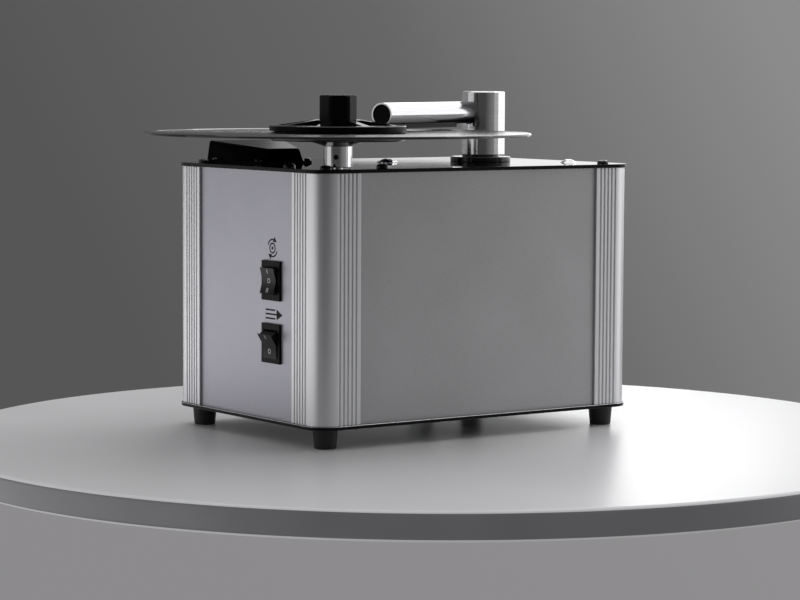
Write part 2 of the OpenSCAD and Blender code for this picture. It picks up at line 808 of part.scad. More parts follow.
module spindle_hub() {
    color("#dcdde0") at_spindle() difference() {
        translate([0, 0, hub_z]) rotate_extrude() polygon([[0, 0], [hub_r - 0.4, 0], [hub_r, 0.4],
            [hub_r, hub_h - 0.4], [hub_r - 0.4, hub_h], [0, hub_h]]);
        translate([0, 0, hub_z - eps]) cylinder(r = shaft_r + 0.02, h = shaft_top_z - hub_z + 0.2);
        translate([0, 0, stud_root_z]) cylinder(r = stud_r - 0.5 + thread_gap, h = 10);
        rotate([0, 0, grub_turn]) translate([0, 0, grub_z]) rotate([0, 90, 0])
            cylinder(r = 2 + thread_gap, h = hub_r + 2);
    }
}

module grub_screw() {
    color("#1b1b1d") at_spindle() rotate([0, 0, grub_turn]) translate([shaft_r + 0.03, 0, grub_z])
        rotate([0, 90, 0]) difference() {
            cylinder(r = 2, h = hub_r - shaft_r - 0.8);
            translate([0, 0, hub_r - shaft_r - 3]) cylinder(r = 1, h = 4, $fn = 6);
        }
}

module platter() {
    color("#18181a") at_spindle() difference() {
        rotate_extrude($fn = 128) polygon([[0, platter_z], [12, platter_z], [24, rim_z],
            [platter_r - 1.6, rim_z], [platter_r, rim_z + 1.1], [platter_r, record_z - 0.4],
            [platter_r - 0.4, record_z], [0, record_z]]);
        translate([0, 0, platter_z - 1]) cylinder(r = stud_r + slip, h = 20);
    }
}

module spindle_stud() {
    color("#d4d5d8") at_spindle() {
        translate([0, 0, stud_root_z]) cylinder(r = stud_r - 0.5, h = platter_z - stud_root_z + 1);
        translate([0, 0, platter_z + eps]) cylinder(r = stud_r, h = stud_top - platter_z - 1);
        translate([0, 0, stud_top - 1 - eps]) cylinder(r1 = stud_r, r2 = stud_r - 0.8, h = 1);
    }
}

module record_disc() {
    dip = 0.2;
    color("#0f0f11") at_spindle() translate([0, 0, record_z]) rotate_extrude($fn = 180)
        polygon([[record_hole_r, 0], [label_r, 0], [label_r + 6, dip], [record_r - 4, dip],
            [record_r - 2.5, 0], [record_r - 0.6, 0], [record_r, 0.6], [record_r, record_t - 0.6],
            [record_r - 0.6, record_t], [record_r - 2.5, record_t], [record_r - 4, record_t - dip],
            [label_r + 6, record_t - dip], [label_r, record_t], [record_hole_r, record_t]]);
}

// Clamp

module clamp_seal() {
    outer = clamp_r - seal_in;
    color("#202022") at_spindle() translate([0, 0, record_top]) ring(outer, outer - seal_w, seal_t);
}

module clamp_disc() {
    pocket_z = clamp_z + 2.4;
    color("#121215") at_spindle() difference() {
        rotate_extrude($fn = 128) polygon([[0, clamp_z], [clamp_r - 0.5, clamp_z],
            [clamp_r, clamp_z + 0.5], [clamp_r, clamp_z + clamp_rim - 0.6],
            [clamp_r - 0.6, clamp_z + clamp_rim], [clamp_r - 5, clamp_z + clamp_rim],
            [17, knob_z], [0, knob_z]]);
        translate([0, 0, clamp_z - 1]) cylinder(r = record_hole_r + 0.1, h = 20);
        difference() {
            translate([0, 0, pocket_z]) ring(clamp_r - 6.5, 20, 12);
            for (i = [0 : clamp_pockets - 1])
                rotate([0, 0, (i + 0.5) * 360 / clamp_pockets + knob_turn])
                    translate([0, -clamp_rib / 2, clamp_z]) cube([clamp_r, clamp_rib, 20]);
        }
    }
}

module clamp_knob() {
    color("#1a1a1c") at_spindle() difference() {
        intersection() {
            rotate([0, 0, knob_turn]) translate([0, 0, knob_z])
                cylinder(r = knob_r + 0.8, h = knob_h, $fn = 6);
            translate([0, 0, knob_z]) rotate_extrude() polygon([[0, 0], [knob_r, 0],
                [knob_r, knob_h - 1], [knob_r - 1, knob_h], [0, knob_h]]);
        }
        translate([0, 0, knob_z - 1]) cylinder(r = stud_r + thread_gap, h = stud_top - knob_z + 1.5);
    }
}

// Suction arm

module arm_tube() {
    color("#d9dadd") at_tube() difference() {
        translate([tube_start, 0, tube_z]) rotate([0, 90, 0]) cylinder(r = tube_r, h = tube_end - tube_start);
        translate([tube_start - 1, 0, tube_z]) rotate([0, 90, 0])
            cylinder(r = tube_r - tube_wall, h = tube_end - tube_start + 2);
        translate([0, tube_side, tube_z - tube_r - 1]) cylinder(r = pickup_r + slip, h = 2 * tube_r + 2);
        translate([arm_post_r, -tube_r, tube_z - tube_r - 1])
            cube([tube_end, 2 * tube_r, tube_r + 1 - flat_h]);
        translate([slot_start, -slot_w / 2, tube_z - tube_r - 1])
            cube([slot_end - slot_start, slot_w, tube_r]);
    }
}

module arm_end_cap() {
    color("#161618") at_tube() translate([tube_end - 4.8, 0, tube_z]) rotate([0, 90, 0])
        cylinder(r = tube_r - tube_wall - 0.02, h = 4);
}

module arm_lips() {
    color("#141414") at_tube() translate([0, 0, tube_z - flat_h - lip_t]) difference() {
        translate([lip_start, -lip_w / 2, 0]) cube([lip_end - lip_start, lip_w, lip_t]);
        translate([slot_start, -slot_w / 2, -1]) cube([slot_end - slot_start, slot_w, lip_t + 2]);
    }
}

module arm_post() {
    color("#d2d3d6") at_arm() difference() {
        translate([-arm_post_back, 0, post_z]) rotate_extrude($fn = 96) polygon([[0, 0],
            [arm_post_r - 0.4, 0], [arm_post_r, 0.4], [arm_post_r, arm_post_h - 0.8],
            [arm_post_r - 0.8, arm_post_h], [0, arm_post_h]]);
        translate([0, 0, post_z - 1]) cylinder(r = pickup_r + slip, h = pickup_top - post_z + 1 + slip);
        translate([tube_start - slip, -tube_side, tube_z]) rotate([0, 90, 0])
            cylinder(r = tube_r + slip, h = 30);
    }
}

module arm_bush() {
    color("#151516") translate([pivot_x, pivot_y, bush_z]) ring(bush_r, pickup_r + slip, bush_len);
}

module pickup_tube() {
    color("#b5b6ba") at_arm() difference() {
        union() {
            translate([0, 0, pickup_bottom]) cylinder(r = pickup_r, h = pickup_top - pickup_bottom);
            translate([0, 0, stop_z]) cylinder(r = pickup_r + 3, h = stop_h);
        }
        translate([0, 0, pickup_bottom - 1])
            cylinder(r = pickup_r - pickup_wall, h = pickup_top - pickup_bottom - 1);
        translate([0, 2 - tube_side, tube_z]) rotate([0, 90, 0]) cylinder(r = 5, h = 20);
    }
}

module thrust_ring() {
    color("#d8d8d0") translate([pivot_x, pivot_y, ring_z]) ring(bush_r - 0.1, pickup_r + 0.15, ring_t);
}

module arm_collar() {
    color("#141416") translate([pivot_x, pivot_y, 0]) difference() {
        union() {
            translate([0, 0, deck_z]) rotate_extrude($fn = 96) polygon([[0, 0], [collar_r, 0],
                [collar_r, collar_h - 0.6], [collar_r - 0.6, collar_h], [0, collar_h]]);
            translate([0, 0, guide_bottom]) cylinder(r = guide_r, h = deck_z - guide_bottom + 1);
        }
        translate([0, 0, guide_z]) cylinder(r = bush_r + slip, h = 100);
        translate([0, 0, guide_bottom - 1]) cylinder(r = pickup_r + 0.3, h = 20);
    }
}

module collar_nut() {
    color("#9fa0a4") translate([pivot_x, pivot_y, roof_z - nut_h]) difference() {
        cylinder(r = guide_r + nut_over, h = nut_h, $fn = 8);
        translate([0, 0, -1]) cylinder(r = guide_r + thread_gap, h = nut_h + 2);
    }
}

// Compression spring that holds the arm clear of the record
module lift_spring() {
    wire = 0.7;
    mean_r = (bush_r + pickup_r) / 2;
    turns = 5;
    steps = 16;
    climb = spring_len - 2 * wire - 2 * slip;
    route = [for (i = [0 : turns * steps]) [pivot_x + mean_r * cos(360 * i / steps),
        pivot_y + mean_r * sin(360 * i / steps), guide_z + wire + slip + climb * i / (turns * steps)]];
    color("#a8a9ad") sweep_tube(route, wire, 6);
}

// Waste tank

module tank_outline(inset) {
    translate([tank_x + tank_w / 2, 0]) round_rect(tank_w - 2 * inset, tank_d - 2 * inset, tank_r - inset);
}

module waste_tank() {
    color("#d7dadb") difference() {
        union() {
            translate([0, 0, floor_z]) linear_extrude(tank_h) tank_outline(0);
            translate([tank_x + 1, vac_y, air_z]) rotate([0, -90, 0]) cylinder(r = air_r, h = 15);
        }
        translate([0, 0, floor_z + tank_wall]) linear_extrude(tank_h) tank_outline(tank_wall);
        translate([tank_x + 10, vac_y, air_z]) rotate([0, -90, 0]) cylinder(r = air_in_r, h = 40);
        translate([hose_x, elbow_y, floor_z - 1]) cylinder(r = 5, h = 10);
    }
}

module tank_lid() {
    color("#c2c6c8") difference() {
        union() {
            translate([0, 0, tank_top]) linear_extrude(lid_t) tank_outline(0);
            translate([0, 0, tank_top - 3]) linear_extrude(4) tank_outline(tank_wall + 0.2);
            translate([pivot_x, pivot_y, tank_top]) cylinder(r = pickup_r + 4, h = lid_t + lid_boss);
        }
        translate([0, 0, tank_top - 4]) linear_extrude(4) tank_outline(tank_wall + 2.2);
        translate([pivot_x, pivot_y, tank_top - 5]) cylinder(r = pickup_r + 0.4, h = 30);
    }
}

// Vacuum unit

module vacuum_motor() {
    color("#7d7e83") translate([vac_x, vac_y, vac_z]) difference() {
        cylinder(r = vac_motor_r, h = vac_motor_h);
        translate([0, 0, 10]) cylinder(r = vac_shaft_r + slip, h = vac_motor_h);
    }
}

module vacuum_mounts() {
    color("#1d1d1f") for (i = [0 : 2])
        translate([vac_x, vac_y, floor_z]) rotate([0, 0, i * 120 + 30]) translate([0.7 * vac_motor_r, 0, 0])
            cylinder(r = 8, h = vac_mount_h);
}

module fan_housing() {
    color("#2a2a2d") translate([vac_x, vac_y, fan_z]) difference() {
        cylinder(r = fan_r, h = fan_h);
        translate([0, 0, fan_wall]) cylinder(r = fan_r - fan_wall, h = fan_h - 2 * fan_wall);
        translate([0, 0, -1]) cylinder(r = vac_shaft_r + slip, h = fan_h / 2);
        translate([0, 0, fan_h / 2]) cylinder(r = air_in_r, h = fan_h);
        translate([duct_dx, duct_dy, fan_h / 2]) cylinder(r = duct_r - 2, h = fan_h);
    }
}

module vacuum_impeller() {
    color("#b4b5b9") translate([vac_x, vac_y, 0]) {
        translate([0, 0, vac_z + 11]) cylinder(r = vac_shaft_r, h = impeller_z + impeller_h - vac_z - 11);
        translate([0, 0, impeller_z]) cylinder(r = impeller_r, h = 2);
        for (i = [0 : 7])
            rotate([0, 0, i * 45]) translate([14, -1, impeller_z + 1])
                cube([impeller_r - 16, 2, impeller_h - 1]);
    }
}

module exhaust_duct() {
    bottom = fan_z + fan_h;
    color("#303033") translate([vac_x + duct_dx, vac_y + duct_dy, bottom])
        ring(duct_r, duct_r - 2, roof_z - bottom);
}

module inlet_elbow() {
    bottom = fan_z + fan_h;
    color("#2c2c2f") translate([vac_x, vac_y, bottom]) {
        ring(air_r + 2, air_in_r, 3);
        translate([elbow_bend, 0, 3]) rotate([90, 0, 0]) mirror([1, 0, 0]) rotate_extrude(angle = 90)
            translate([elbow_bend, 0]) difference() {
                circle(air_r);
                circle(air_in_r);
            }
        translate([elbow_bend, 0, 3 + elbow_bend]) rotate([0, 90, 0]) ring(air_r, air_in_r, 16);
    }
}

module suction_hose() {
    start = vac_x + elbow_bend + 4;
    color("#3a3a3e") translate([start, vac_y, air_z]) rotate([0, 90, 0])
        ring(air_r + 2.5, air_r + slip, tank_x - 2 - start);
}

// Electrics

module circuit_board() {
    pillar = 6;
    top = board_up + board_t;
    color("#2f6b43") translate([board_x, board_y, floor_z]) {
        translate([0, 0, board_up]) cube([board_w, board_d, board_t]);
        for (x = [pillar, board_w - pillar], y = [pillar, board_d - pillar])
            translate([x, y, 0]) cylinder(r = 3, h = board_up + 0.5);
        translate([pillar + 2, (board_d - core_d) / 2, top - 0.6]) cube([core_w, core_d, core_h]);
        translate([board_w - 24, 22, top - 0.6]) cylinder(r = can_r, h = can_h);
        translate([board_w - block_w - 8, board_d - block_d - 6, top - 0.6])
            cube([block_w, block_d, block_h]);
    }
}

module power_inlet() {
    color("#1a1a1c") translate([inlet_x, panel_y, inlet_z]) difference() {
        union() {
            translate([-inlet_w / 2, 0, -inlet_h / 2]) cube([inlet_w, inlet_face, inlet_h]);
            translate([-11.8, -inlet_deep, -21.8]) cube([23.6, inlet_deep + 1, 43.6]);
        }
        difference() {
            translate([-10.5, -14, -15]) cube([21, 20, 17]);
            for (p = [[-5.5, -8], [5.5, -8], [0, -4]])
                translate([p[0] - 1, -15, p[1] - 2]) cube([2, 13, 4]);
        }
        translate([-drawer_w / 2 - 0.1, -15, drawer_z - inlet_z - drawer_h / 2 - 0.1])
            cube([drawer_w + 0.2, 20, drawer_h + 0.2]);
    }
}

module fuse_drawer() {
    color("#242427") translate([inlet_x, panel_y, drawer_z]) difference() {
        translate([-drawer_w / 2, -14.8, -drawer_h / 2]) cube([drawer_w, 14.8 + inlet_face + 0.8, drawer_h]);
        translate([-drawer_w / 2 + 2, -7, drawer_h / 2]) rotate([0, 90, 0])
            cylinder(r = 2.6, h = drawer_w - 4);
    }
}

module wiring() {
    color("#3b3b40") {
        sweep_tube(inlet_route, 3, 8);
        sweep_tube(motor_route, wire_r, 8);
        sweep_tube(motor_switch_route, wire_r, 8);
        sweep_tube(vacuum_switch_route, wire_r, 8);
        sweep_tube(vacuum_route, wire_r, 8);
    }
}

// Rear hose

module drain_elbow() {
    color("#c9c9c4") difference() {
        union() {
            translate([hose_x, elbow_y, hose_z - 5]) cylinder(r = 4.9, h = floor_z + tank_wall - hose_z + 5);
            translate([hose_x, elbow_y, hose_z]) rotate([-90, 0, 0]) cylinder(r = 3.6, h = 8);
            translate([hose_x, elbow_y, hose_z]) rotate([-90, 0, 0]) cylinder(r = hose_bore_r - slip, h = 14);
        }
        translate([hose_x, elbow_y, hose_z]) cylinder(r = 2.5, h = 40);
        translate([hose_x, elbow_y, hose_z]) rotate([-90, 0, 0]) cylinder(r = 1.2, h = 20);
    }
}

module level_hose() {
    color("#b9c4bd") translate([hose_x, 0, 0]) {
        translate([0, elbow_y + 8.1, hose_z]) rotate([-90, 0, 0])
            ring(hose_r, hose_bore_r, hose_y - hose_bend - elbow_y - 8.1);
        translate([0, hose_y - hose_bend, hose_z + hose_bend]) rotate([90, 0, 90])
            rotate([0, 0, -90]) rotate_extrude(angle = 90) translate([hose_bend, 0]) difference() {
                circle(hose_r);
                circle(hose_bore_r);
            }
        translate([0, hose_y, hose_z + hose_bend]) ring(hose_r, hose_bore_r, hose_top_z - hose_z - hose_bend);
    }
}

module hose_clips() {
    clip_r = hose_r + clip_wall;
    foot_t = 2;
    tail = clip_out + small_head_r + 2.15;
    color("#2a2a2c") for (z = clip_heights) {
        difference() {
            translate([hose_x, 0, z - clip_h / 2]) union() {
                translate([0, hose_y, 0]) cylinder(r = clip_r, h = clip_h);
                translate([-tail, panel_y, 0]) cube([tail, foot_t, clip_h]);
                translate([-clip_r, panel_y, 0]) cube([2 * clip_r, hose_y - panel_y, clip_h]);
            }
            translate([hose_x, hose_y, z - clip_h]) cylinder(r = hose_r + slip, h = 2 * clip_h);
            translate([hose_x - clip_out, panel_y + foot_t + 1, z]) rotate([90, 0, 0])
                cylinder(r = small_screw_r, h = foot_t + 2);
        }
        translate([hose_x - clip_out, panel_y + foot_t, z]) rotate([-90, 0, 0])
            button_screw(small_screw_r - slip, small_head_r, small_head_h, foot_t + panel_t, 1);
    }
}

// Small pieces on the top plate

module level_bezel() {
    color("#d5d6da") translate([level_x, level_y, deck_z]) difference() {
        union() {
            rotate_extrude() polygon([[0, 0], [level_r, 0], [level_r, 0.5], [level_r - 1.1, 1.6], [0, 1.6]]);
            translate([0, 0, -plate_t - 2]) cylinder(r = 5, h = plate_t + 3);
        }
        translate([0, 0, level_seat]) cylinder(r = level_r - 1.5, h = 5);
    }
}

module level_lens() {
    dome_h = 3;
    base_r = level_r - 1.5 - slip;
    dome_r = (base_r * base_r + dome_h * dome_h) / (2 * dome_h);
    color("#1b2340") translate([level_x, level_y, deck_z + level_seat]) intersection() {
        translate([0, 0, dome_h - dome_r]) sphere(dome_r);
        cylinder(r = base_r, h = dome_h);
    }
}

module service_plug() {
    dome_h = 2.8;
    dome_r = (plug_r * plug_r + dome_h * dome_h) / (2 * dome_h);
    color("#cfd0d4") translate([plug_x, plug_y, deck_z]) {
        intersection() {
            translate([0, 0, dome_h - dome_r]) sphere(dome_r);
            cylinder(r = plug_r, h = dome_h);
        }
        translate([0, 0, -plate_t - 2]) cylinder(r = 4, h = plate_t + 2.1);
    }
}

base_plate();
top_plate();
corner_post(-1, -1);  // post_front_left
corner_post(1, -1);  // post_front_right
corner_post(-1, 1);  // post_rear_left
corner_post(1, 1);  // post_rear_right
front_panel();
rear_panel();
left_panel();
right_panel();
feet();
case_screws();
exhaust_hood();
hood_screws();
switch_body(motor_switch_z);  // motor_switch_body
rocker(motor_switch_z, 0);  // motor_rocker
switch_body(vacuum_switch_z);  // vacuum_switch_body
rocker(vacuum_switch_z, -vacuum_tilt);  // vacuum_rocker
drive_gearbox();
drive_motor();
motor_bracket();
spindle_bearing();
drive_shaft();
spindle_hub();
grub_screw();
platter();
spindle_stud();
record_disc();
clamp_disc();
clamp_seal();
clamp_knob();
arm_tube();
arm_end_cap();
arm_lips();
arm_post();
arm_bush();
pickup_tube();
thrust_ring();
arm_collar();
collar_nut();
lift_spring();
waste_tank();
tank_lid();
vacuum_motor();
vacuum_mounts();
fan_housing();
vacuum_impeller();
exhaust_duct();
inlet_elbow();
suction_hose();
circuit_board();
power_inlet();
fuse_drawer();
wiring();
drain_elbow();
level_hose();
hose_clips();
level_bezel();
level_lens();
service_plug();
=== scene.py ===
# %% [markdown]
# # A record cleaning machine on a pale table
# The machine is a black and silver case with a small driven platter over its front left corner,
# a record held by a screw clamp, and a hollow arm that sucks the wet record dry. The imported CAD
# model gives every size, so this lesson only dresses it: each cell softens edges, adds small
# pieces that the model leaves out, and gives every surface the finish of the real material.

# %% Load the fixed frame
import json
import math

import bmesh
import bpy
from mathutils import Matrix, Quaternion, Vector
from mathutils.bvhtree import BVHTree


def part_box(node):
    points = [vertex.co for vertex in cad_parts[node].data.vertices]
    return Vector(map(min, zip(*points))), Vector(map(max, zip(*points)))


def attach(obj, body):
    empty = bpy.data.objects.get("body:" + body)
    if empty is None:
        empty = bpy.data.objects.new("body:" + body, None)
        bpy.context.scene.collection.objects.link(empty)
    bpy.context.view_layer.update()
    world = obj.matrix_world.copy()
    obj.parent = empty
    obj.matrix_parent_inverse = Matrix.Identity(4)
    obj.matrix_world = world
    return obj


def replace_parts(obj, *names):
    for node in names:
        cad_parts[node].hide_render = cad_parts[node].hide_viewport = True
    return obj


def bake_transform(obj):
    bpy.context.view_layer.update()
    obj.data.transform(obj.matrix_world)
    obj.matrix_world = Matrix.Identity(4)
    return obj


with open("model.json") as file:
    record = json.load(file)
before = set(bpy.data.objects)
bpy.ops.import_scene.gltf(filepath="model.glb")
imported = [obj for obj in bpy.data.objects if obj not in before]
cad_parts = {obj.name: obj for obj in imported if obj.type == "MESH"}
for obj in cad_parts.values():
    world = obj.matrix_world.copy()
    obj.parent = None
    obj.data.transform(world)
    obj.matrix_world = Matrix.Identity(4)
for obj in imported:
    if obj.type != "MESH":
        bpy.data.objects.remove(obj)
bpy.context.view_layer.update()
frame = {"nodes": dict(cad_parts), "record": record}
cad = frame["nodes"]
MM = 0.001

# %% [markdown]
# ## Camera
# The photograph is taken from the front left, a little above the deck, with a long lens. The
# camera is placed by three angles and a point, which is easier to read than a matrix: it turns
# round the upright axis, tips down by a few degrees and leans over by a fraction of one.

# %% Camera at the photograph's viewing angle
camera_azimuth, camera_pitch, camera_roll = map(math.radians, (-35.37, 4.77, 0.28))
camera_place = Vector((-1.32713, -1.86430, 0.29468))
camera_lens = 124.03  # mm, on a sensor 36 mm wide

towards_camera = Vector((
    math.sin(camera_azimuth) * math.cos(camera_pitch),
    -math.cos(camera_azimuth) * math.cos(camera_pitch),
    math.sin(camera_pitch),
))
camera = bpy.data.objects.new("camera", bpy.data.cameras.new("camera"))
bpy.context.scene.collection.objects.link(camera)
camera.data.sensor_width = 36
camera.data.lens = camera_lens
camera.data.clip_start, camera.data.clip_end = 0.1, 50
camera.location = camera_place
camera.rotation_mode = "QUATERNION"
camera.rotation_quaternion = towards_camera.to_track_quat("Z", "Y") @ Quaternion((0, 0, 1), camera_roll)
bpy.context.scene.camera = camera
bpy.context.scene.view_settings.view_transform = "Standard"
print("camera", round(camera_place.length, 2), "m from the origin")

# %% [markdown]
# ## Helpers
# A finish is a small tree of shader nodes. One function turns the hex colours of a paint chart
# to the linear numbers that the renderer works in, one adds a node with its settings and links,
# and one starts a material whose pattern is laid in the piece's own millimetres.

# %% Colour, node and material helpers
def linear(code):
    """A hex colour such as #9796A0 as linear red, green, blue and alpha."""
    parts = [int(code[i:i + 2], 16) / 255 for i in (1, 3, 5)]
    return tuple(c / 12.92 if c <= 0.04045 else ((c + 0.055) / 1.055) ** 2.4 for c in parts) + (1.0,)


def add(tree, kind, inputs=(), **settings):
    """One shader node. Each input is a value or another node's output."""
    node = tree.nodes.new("ShaderNode" + kind)
    for key, value in settings.items():
        setattr(node, key, value)
    for key, value in dict(inputs).items():
        if isinstance(value, bpy.types.NodeSocket):
            tree.links.new(value, node.inputs[key])
        else:
            node.inputs[key].default_value = value
    return node


def new_material(name, **sockets):
    """A material, its tree, its shader and the piece's own coordinates."""
    material = bpy.data.materials.new(name)
    material.use_nodes = True
    tree = material.node_tree
    shader = tree.nodes["Principled BSDF"]
    for key, value in sockets.items():
        shader.inputs[key.replace("_", " ")].default_value = value
    return material, tree, shader, add(tree, "TexCoord").outputs["Object"]


def lay_pattern(tree, shader, pattern, colours, roughness, bump_mm):
    """Lets one pattern from 0.3 to 0.7 steer the colour, the roughness and the bump."""
    even = add(tree, "MapRange", {"Value": pattern, "From Min": 0.3, "From Max": 0.7}).outputs["Result"]
    colour = add(tree, "Mix", {0: even, 6: linear(colours[0]), 7: linear(colours[1])}, data_type="RGBA")
    rough = add(tree, "MapRange", {"Value": even, "To Min": roughness[0], "To Max": roughness[1]})
    tree.links.new(colour.outputs[2], shader.inputs["Base Color"])
    tree.links.new(rough.outputs["Result"], shader.inputs["Roughness"])
    if bump_mm:
        bump = add(tree, "Bump", {"Height": pattern, "Distance": bump_mm * MM, "Strength": 1.0})
        tree.links.new(bump.outputs["Normal"], shader.inputs["Normal"])


def grain(name, colours, roughness, grain_mm, bump_mm, stretch=(1, 1, 1), detail=3, turn=0.0, **sockets):
    """A finish with one grain: noise of that size, which may be stretched along a direction."""
    material, tree, shader, place = new_material(name, **sockets)
    if turn:
        place = add(tree, "Mapping", {"Vector": place, "Rotation": (0, 0, -turn)}).outputs["Vector"]
    laid = add(tree, "Mapping", {"Vector": place, "Scale": stretch}).outputs["Vector"]
    noise = add(tree, "TexNoise", {"Vector": laid, "Scale": 1 / (grain_mm * MM), "Detail": detail})
    lay_pattern(tree, shader, noise.outputs["Fac"], colours, roughness, bump_mm)
    return material


print("helpers ready; mid grey is", [round(c, 3) for c in linear("#808080")])

# %% [markdown]
# ## Metals of the case
# The corner posts are extruded aluminium, matt etched and then anodised: the die leaves faint
# lines along the length, and the etch gives a soft, even shine. The panels are sheet with a
# fine metallic powder coat, whose flakes read as a sparkle of about a third of a millimetre. It
# is drawn at 0.7 mm here, because finer flakes would vanish at this distance.

# %% Anodised extrusion
post_finish = grain(
    "anodised_aluminium_extrusion", ("#D6D6D9", "#DEDEE1"), (0.38, 0.44), 0.8, 0,
    stretch=(1, 1, 0.001), Metallic=0.88,
)
print("finish:", post_finish.name)


# %% Metallic powder coat
def powder_coat(name, colours, roughness):
    """Metallic powder coat: flakes for the sparkle, and a slow cloudiness from the gun."""
    material, tree, shader, place = new_material(name, Metallic=0.85)
    flakes = add(tree, "TexVoronoi", {"Vector": place, "Scale": 1 / (0.7 * MM)})
    flake = add(tree, "SeparateColor", {"Color": flakes.outputs["Color"]}).outputs["Red"]
    cloud = add(tree, "TexNoise", {"Vector": place, "Scale": 1 / (60 * MM), "Detail": 2}).outputs["Fac"]
    mixed = add(tree, "Math", {0: flake, 1: 0.35, 2: 0.325}, operation="MULTIPLY_ADD").outputs[0]
    both = add(tree, "Mix", {0: 0.4, 2: mixed, 3: cloud}, data_type="FLOAT").outputs[0]
    lay_pattern(tree, shader, both, colours, roughness, 0.006)
    return material


panel_finish = powder_coat("metallic_powder_coat", ("#A3A3A4", "#B2B2B4"), (0.38, 0.46))
end_panel_finish = powder_coat("metallic_powder_coat_ends", ("#A4A3AC", "#B3B2BB"), (0.40, 0.48))
print("finishes:", panel_finish.name, end_panel_finish.name)

# %% [markdown]
# ## Blacks
# The plates are polished acrylic-faced sheet, so they mirror the room: nearly no colour of
# their own, a very low roughness, and a trace of dust. Their sides are sawn and stay dull. The
# edges next to the panels are really rounded, and their light grey metal colour is a painted
# highlight that makes them thin bright lines. The hood, clamp and collar are moulded or anodised
# gloss parts, a little softer, and the platter is turned and anodised, with a broader shine. Knob,
# rockers, switch frames and end cap keep the fine grain of their moulds, which scatters light.
# Screws are blackened steel, feet are rubber, and the marks are flat paint.

# %% Plates and gloss mouldings
plate_finish = grain(
    "polished_black_acrylic", ("#09090B", "#0C0C0E"), (0.02, 0.04), 30, 0, detail=5, IOR=1.49,
)
hood_finish = grain(
    "moulded_gloss_abs", ("#040406", "#08080A"), (0.13, 0.18), 1.2, 0.002, IOR=1.38, Specular_IOR_Level=0.03,
)
side_finish = grain(
    "sawn_plate_side", ("#050506", "#08080A"), (0.25, 0.35), 4, 0, IOR=1.49, Specular_IOR_Level=0.12,
)
# Painted highlight: the plates' rounded edges are coloured light grey metal so that they show as thin bright
# lines.
painted_highlight_edge_finish = grain("plate_edge_painted_highlight", ("#DCDCE0", "#E6E6EA"), (0.20, 0.28), 8, 0, Metallic=0.9)
clamp_finish = grain("gloss_acetal", ("#060608", "#0A0A0C"), (0.05, 0.09), 6, 0.001, IOR=1.5)
collar_finish = grain(
    "black_anodised_gloss", ("#09090B", "#0E0E11"), (0.10, 0.15), 5, 0.001, IOR=1.6, Specular_IOR_Level=0.3,
)
platter_finish = grain("black_anodised_turned", ("#0B0B0E", "#111115"), (0.22, 0.30), 0.6, 0.002, IOR=1.6)
rocker_finish = grain(
    "moulded_rocker", ("#0B0B0E", "#101014"), (0.30, 0.38), 0.8, 0.003, IOR=1.53, Specular_IOR_Level=0.15,
)
print("plates and gloss blacks:", plate_finish.name, hood_finish.name, clamp_finish.name)

# %% Satin blacks, blackened steel and rubber
knob_finish = grain(
    "satin_acetal_knob", ("#050506", "#09090A"), (0.30, 0.40), 0.9, 0.003, IOR=1.5, Specular_IOR_Level=0.08,
)
blackened_steel = grain(
    "blackened_steel", ("#0E0E10", "#151518"), (0.10, 0.16), 0.7, 0.002, Metallic=0.15, IOR=1.6,
)
rubber_finish = grain("foot_rubber", ("#0C0C0D", "#141415"), (0.5, 0.64), 0.6, 0.015, IOR=1.52)
switch_finish = grain(
    "nylon_switch_frame", ("#060608", "#0A0A0D"), (0.40, 0.50), 0.5, 0.006, IOR=1.53, Specular_IOR_Level=0.08,
)
cap_finish = grain(
    "end_cap_plastic", ("#08080A", "#16161A"), (0.6, 0.75), 0.5, 0.01, IOR=1.5, Specular_IOR_Level=0.15,
)
mark_finish = grain("pad_print_white", ("#BDBDC1", "#CDCDD1"), (0.5, 0.6), 0.6, 0)
sign_finish = grain("pad_print_black", ("#0C0C0E", "#121214"), (0.5, 0.6), 0.6, 0, Specular_IOR_Level=0.15)
print("satin blacks:", knob_finish.name, blackened_steel.name, rubber_finish.name)

# %% [markdown]
# ## Bright metals
# Spindle hub, arm and post are turned or drawn metal, polished afterwards. Turning leaves rings
# about the axis and drawing leaves lines along it, each a few hundredths of a millimetre apart.
# They are drawn half a millimetre apart and very shallow, enough to break the reflections.
# Cast parts are grey and rough from the mould, zinc plating is bright with slow clouds, and
# nickelled brass is warmer. Enamelled copper shows the turns of its winding.

# %% Turned metal
rings = (0.02, 0.02, 1)
hub_finish = grain(
    "turned_steel_polished", ("#DADADD", "#E8E8EA"), (0.05, 0.10), 0.5, 0.0003, rings, 4, Metallic=1.0,
)
post_turned = grain(
    "turned_aluminium_polished", ("#D8D8DA", "#E4E4E6"), (0.10, 0.15), 0.6, 0.0004, rings, 4, Metallic=1.0,
)
stud_finish = grain("turned_stud", ("#C8C8CC", "#DADADE"), (0.16, 0.24), 0.8, 0.005, rings, 4, Metallic=1.0)
bright_trim = grain(
    "polished_trim", ("#E0E0E2", "#ECECEE"), (0.05, 0.09), 0.6, 0.0003, rings, 4, Metallic=1.0,
)
print("turned metals:", hub_finish.name, post_turned.name, bright_trim.name)

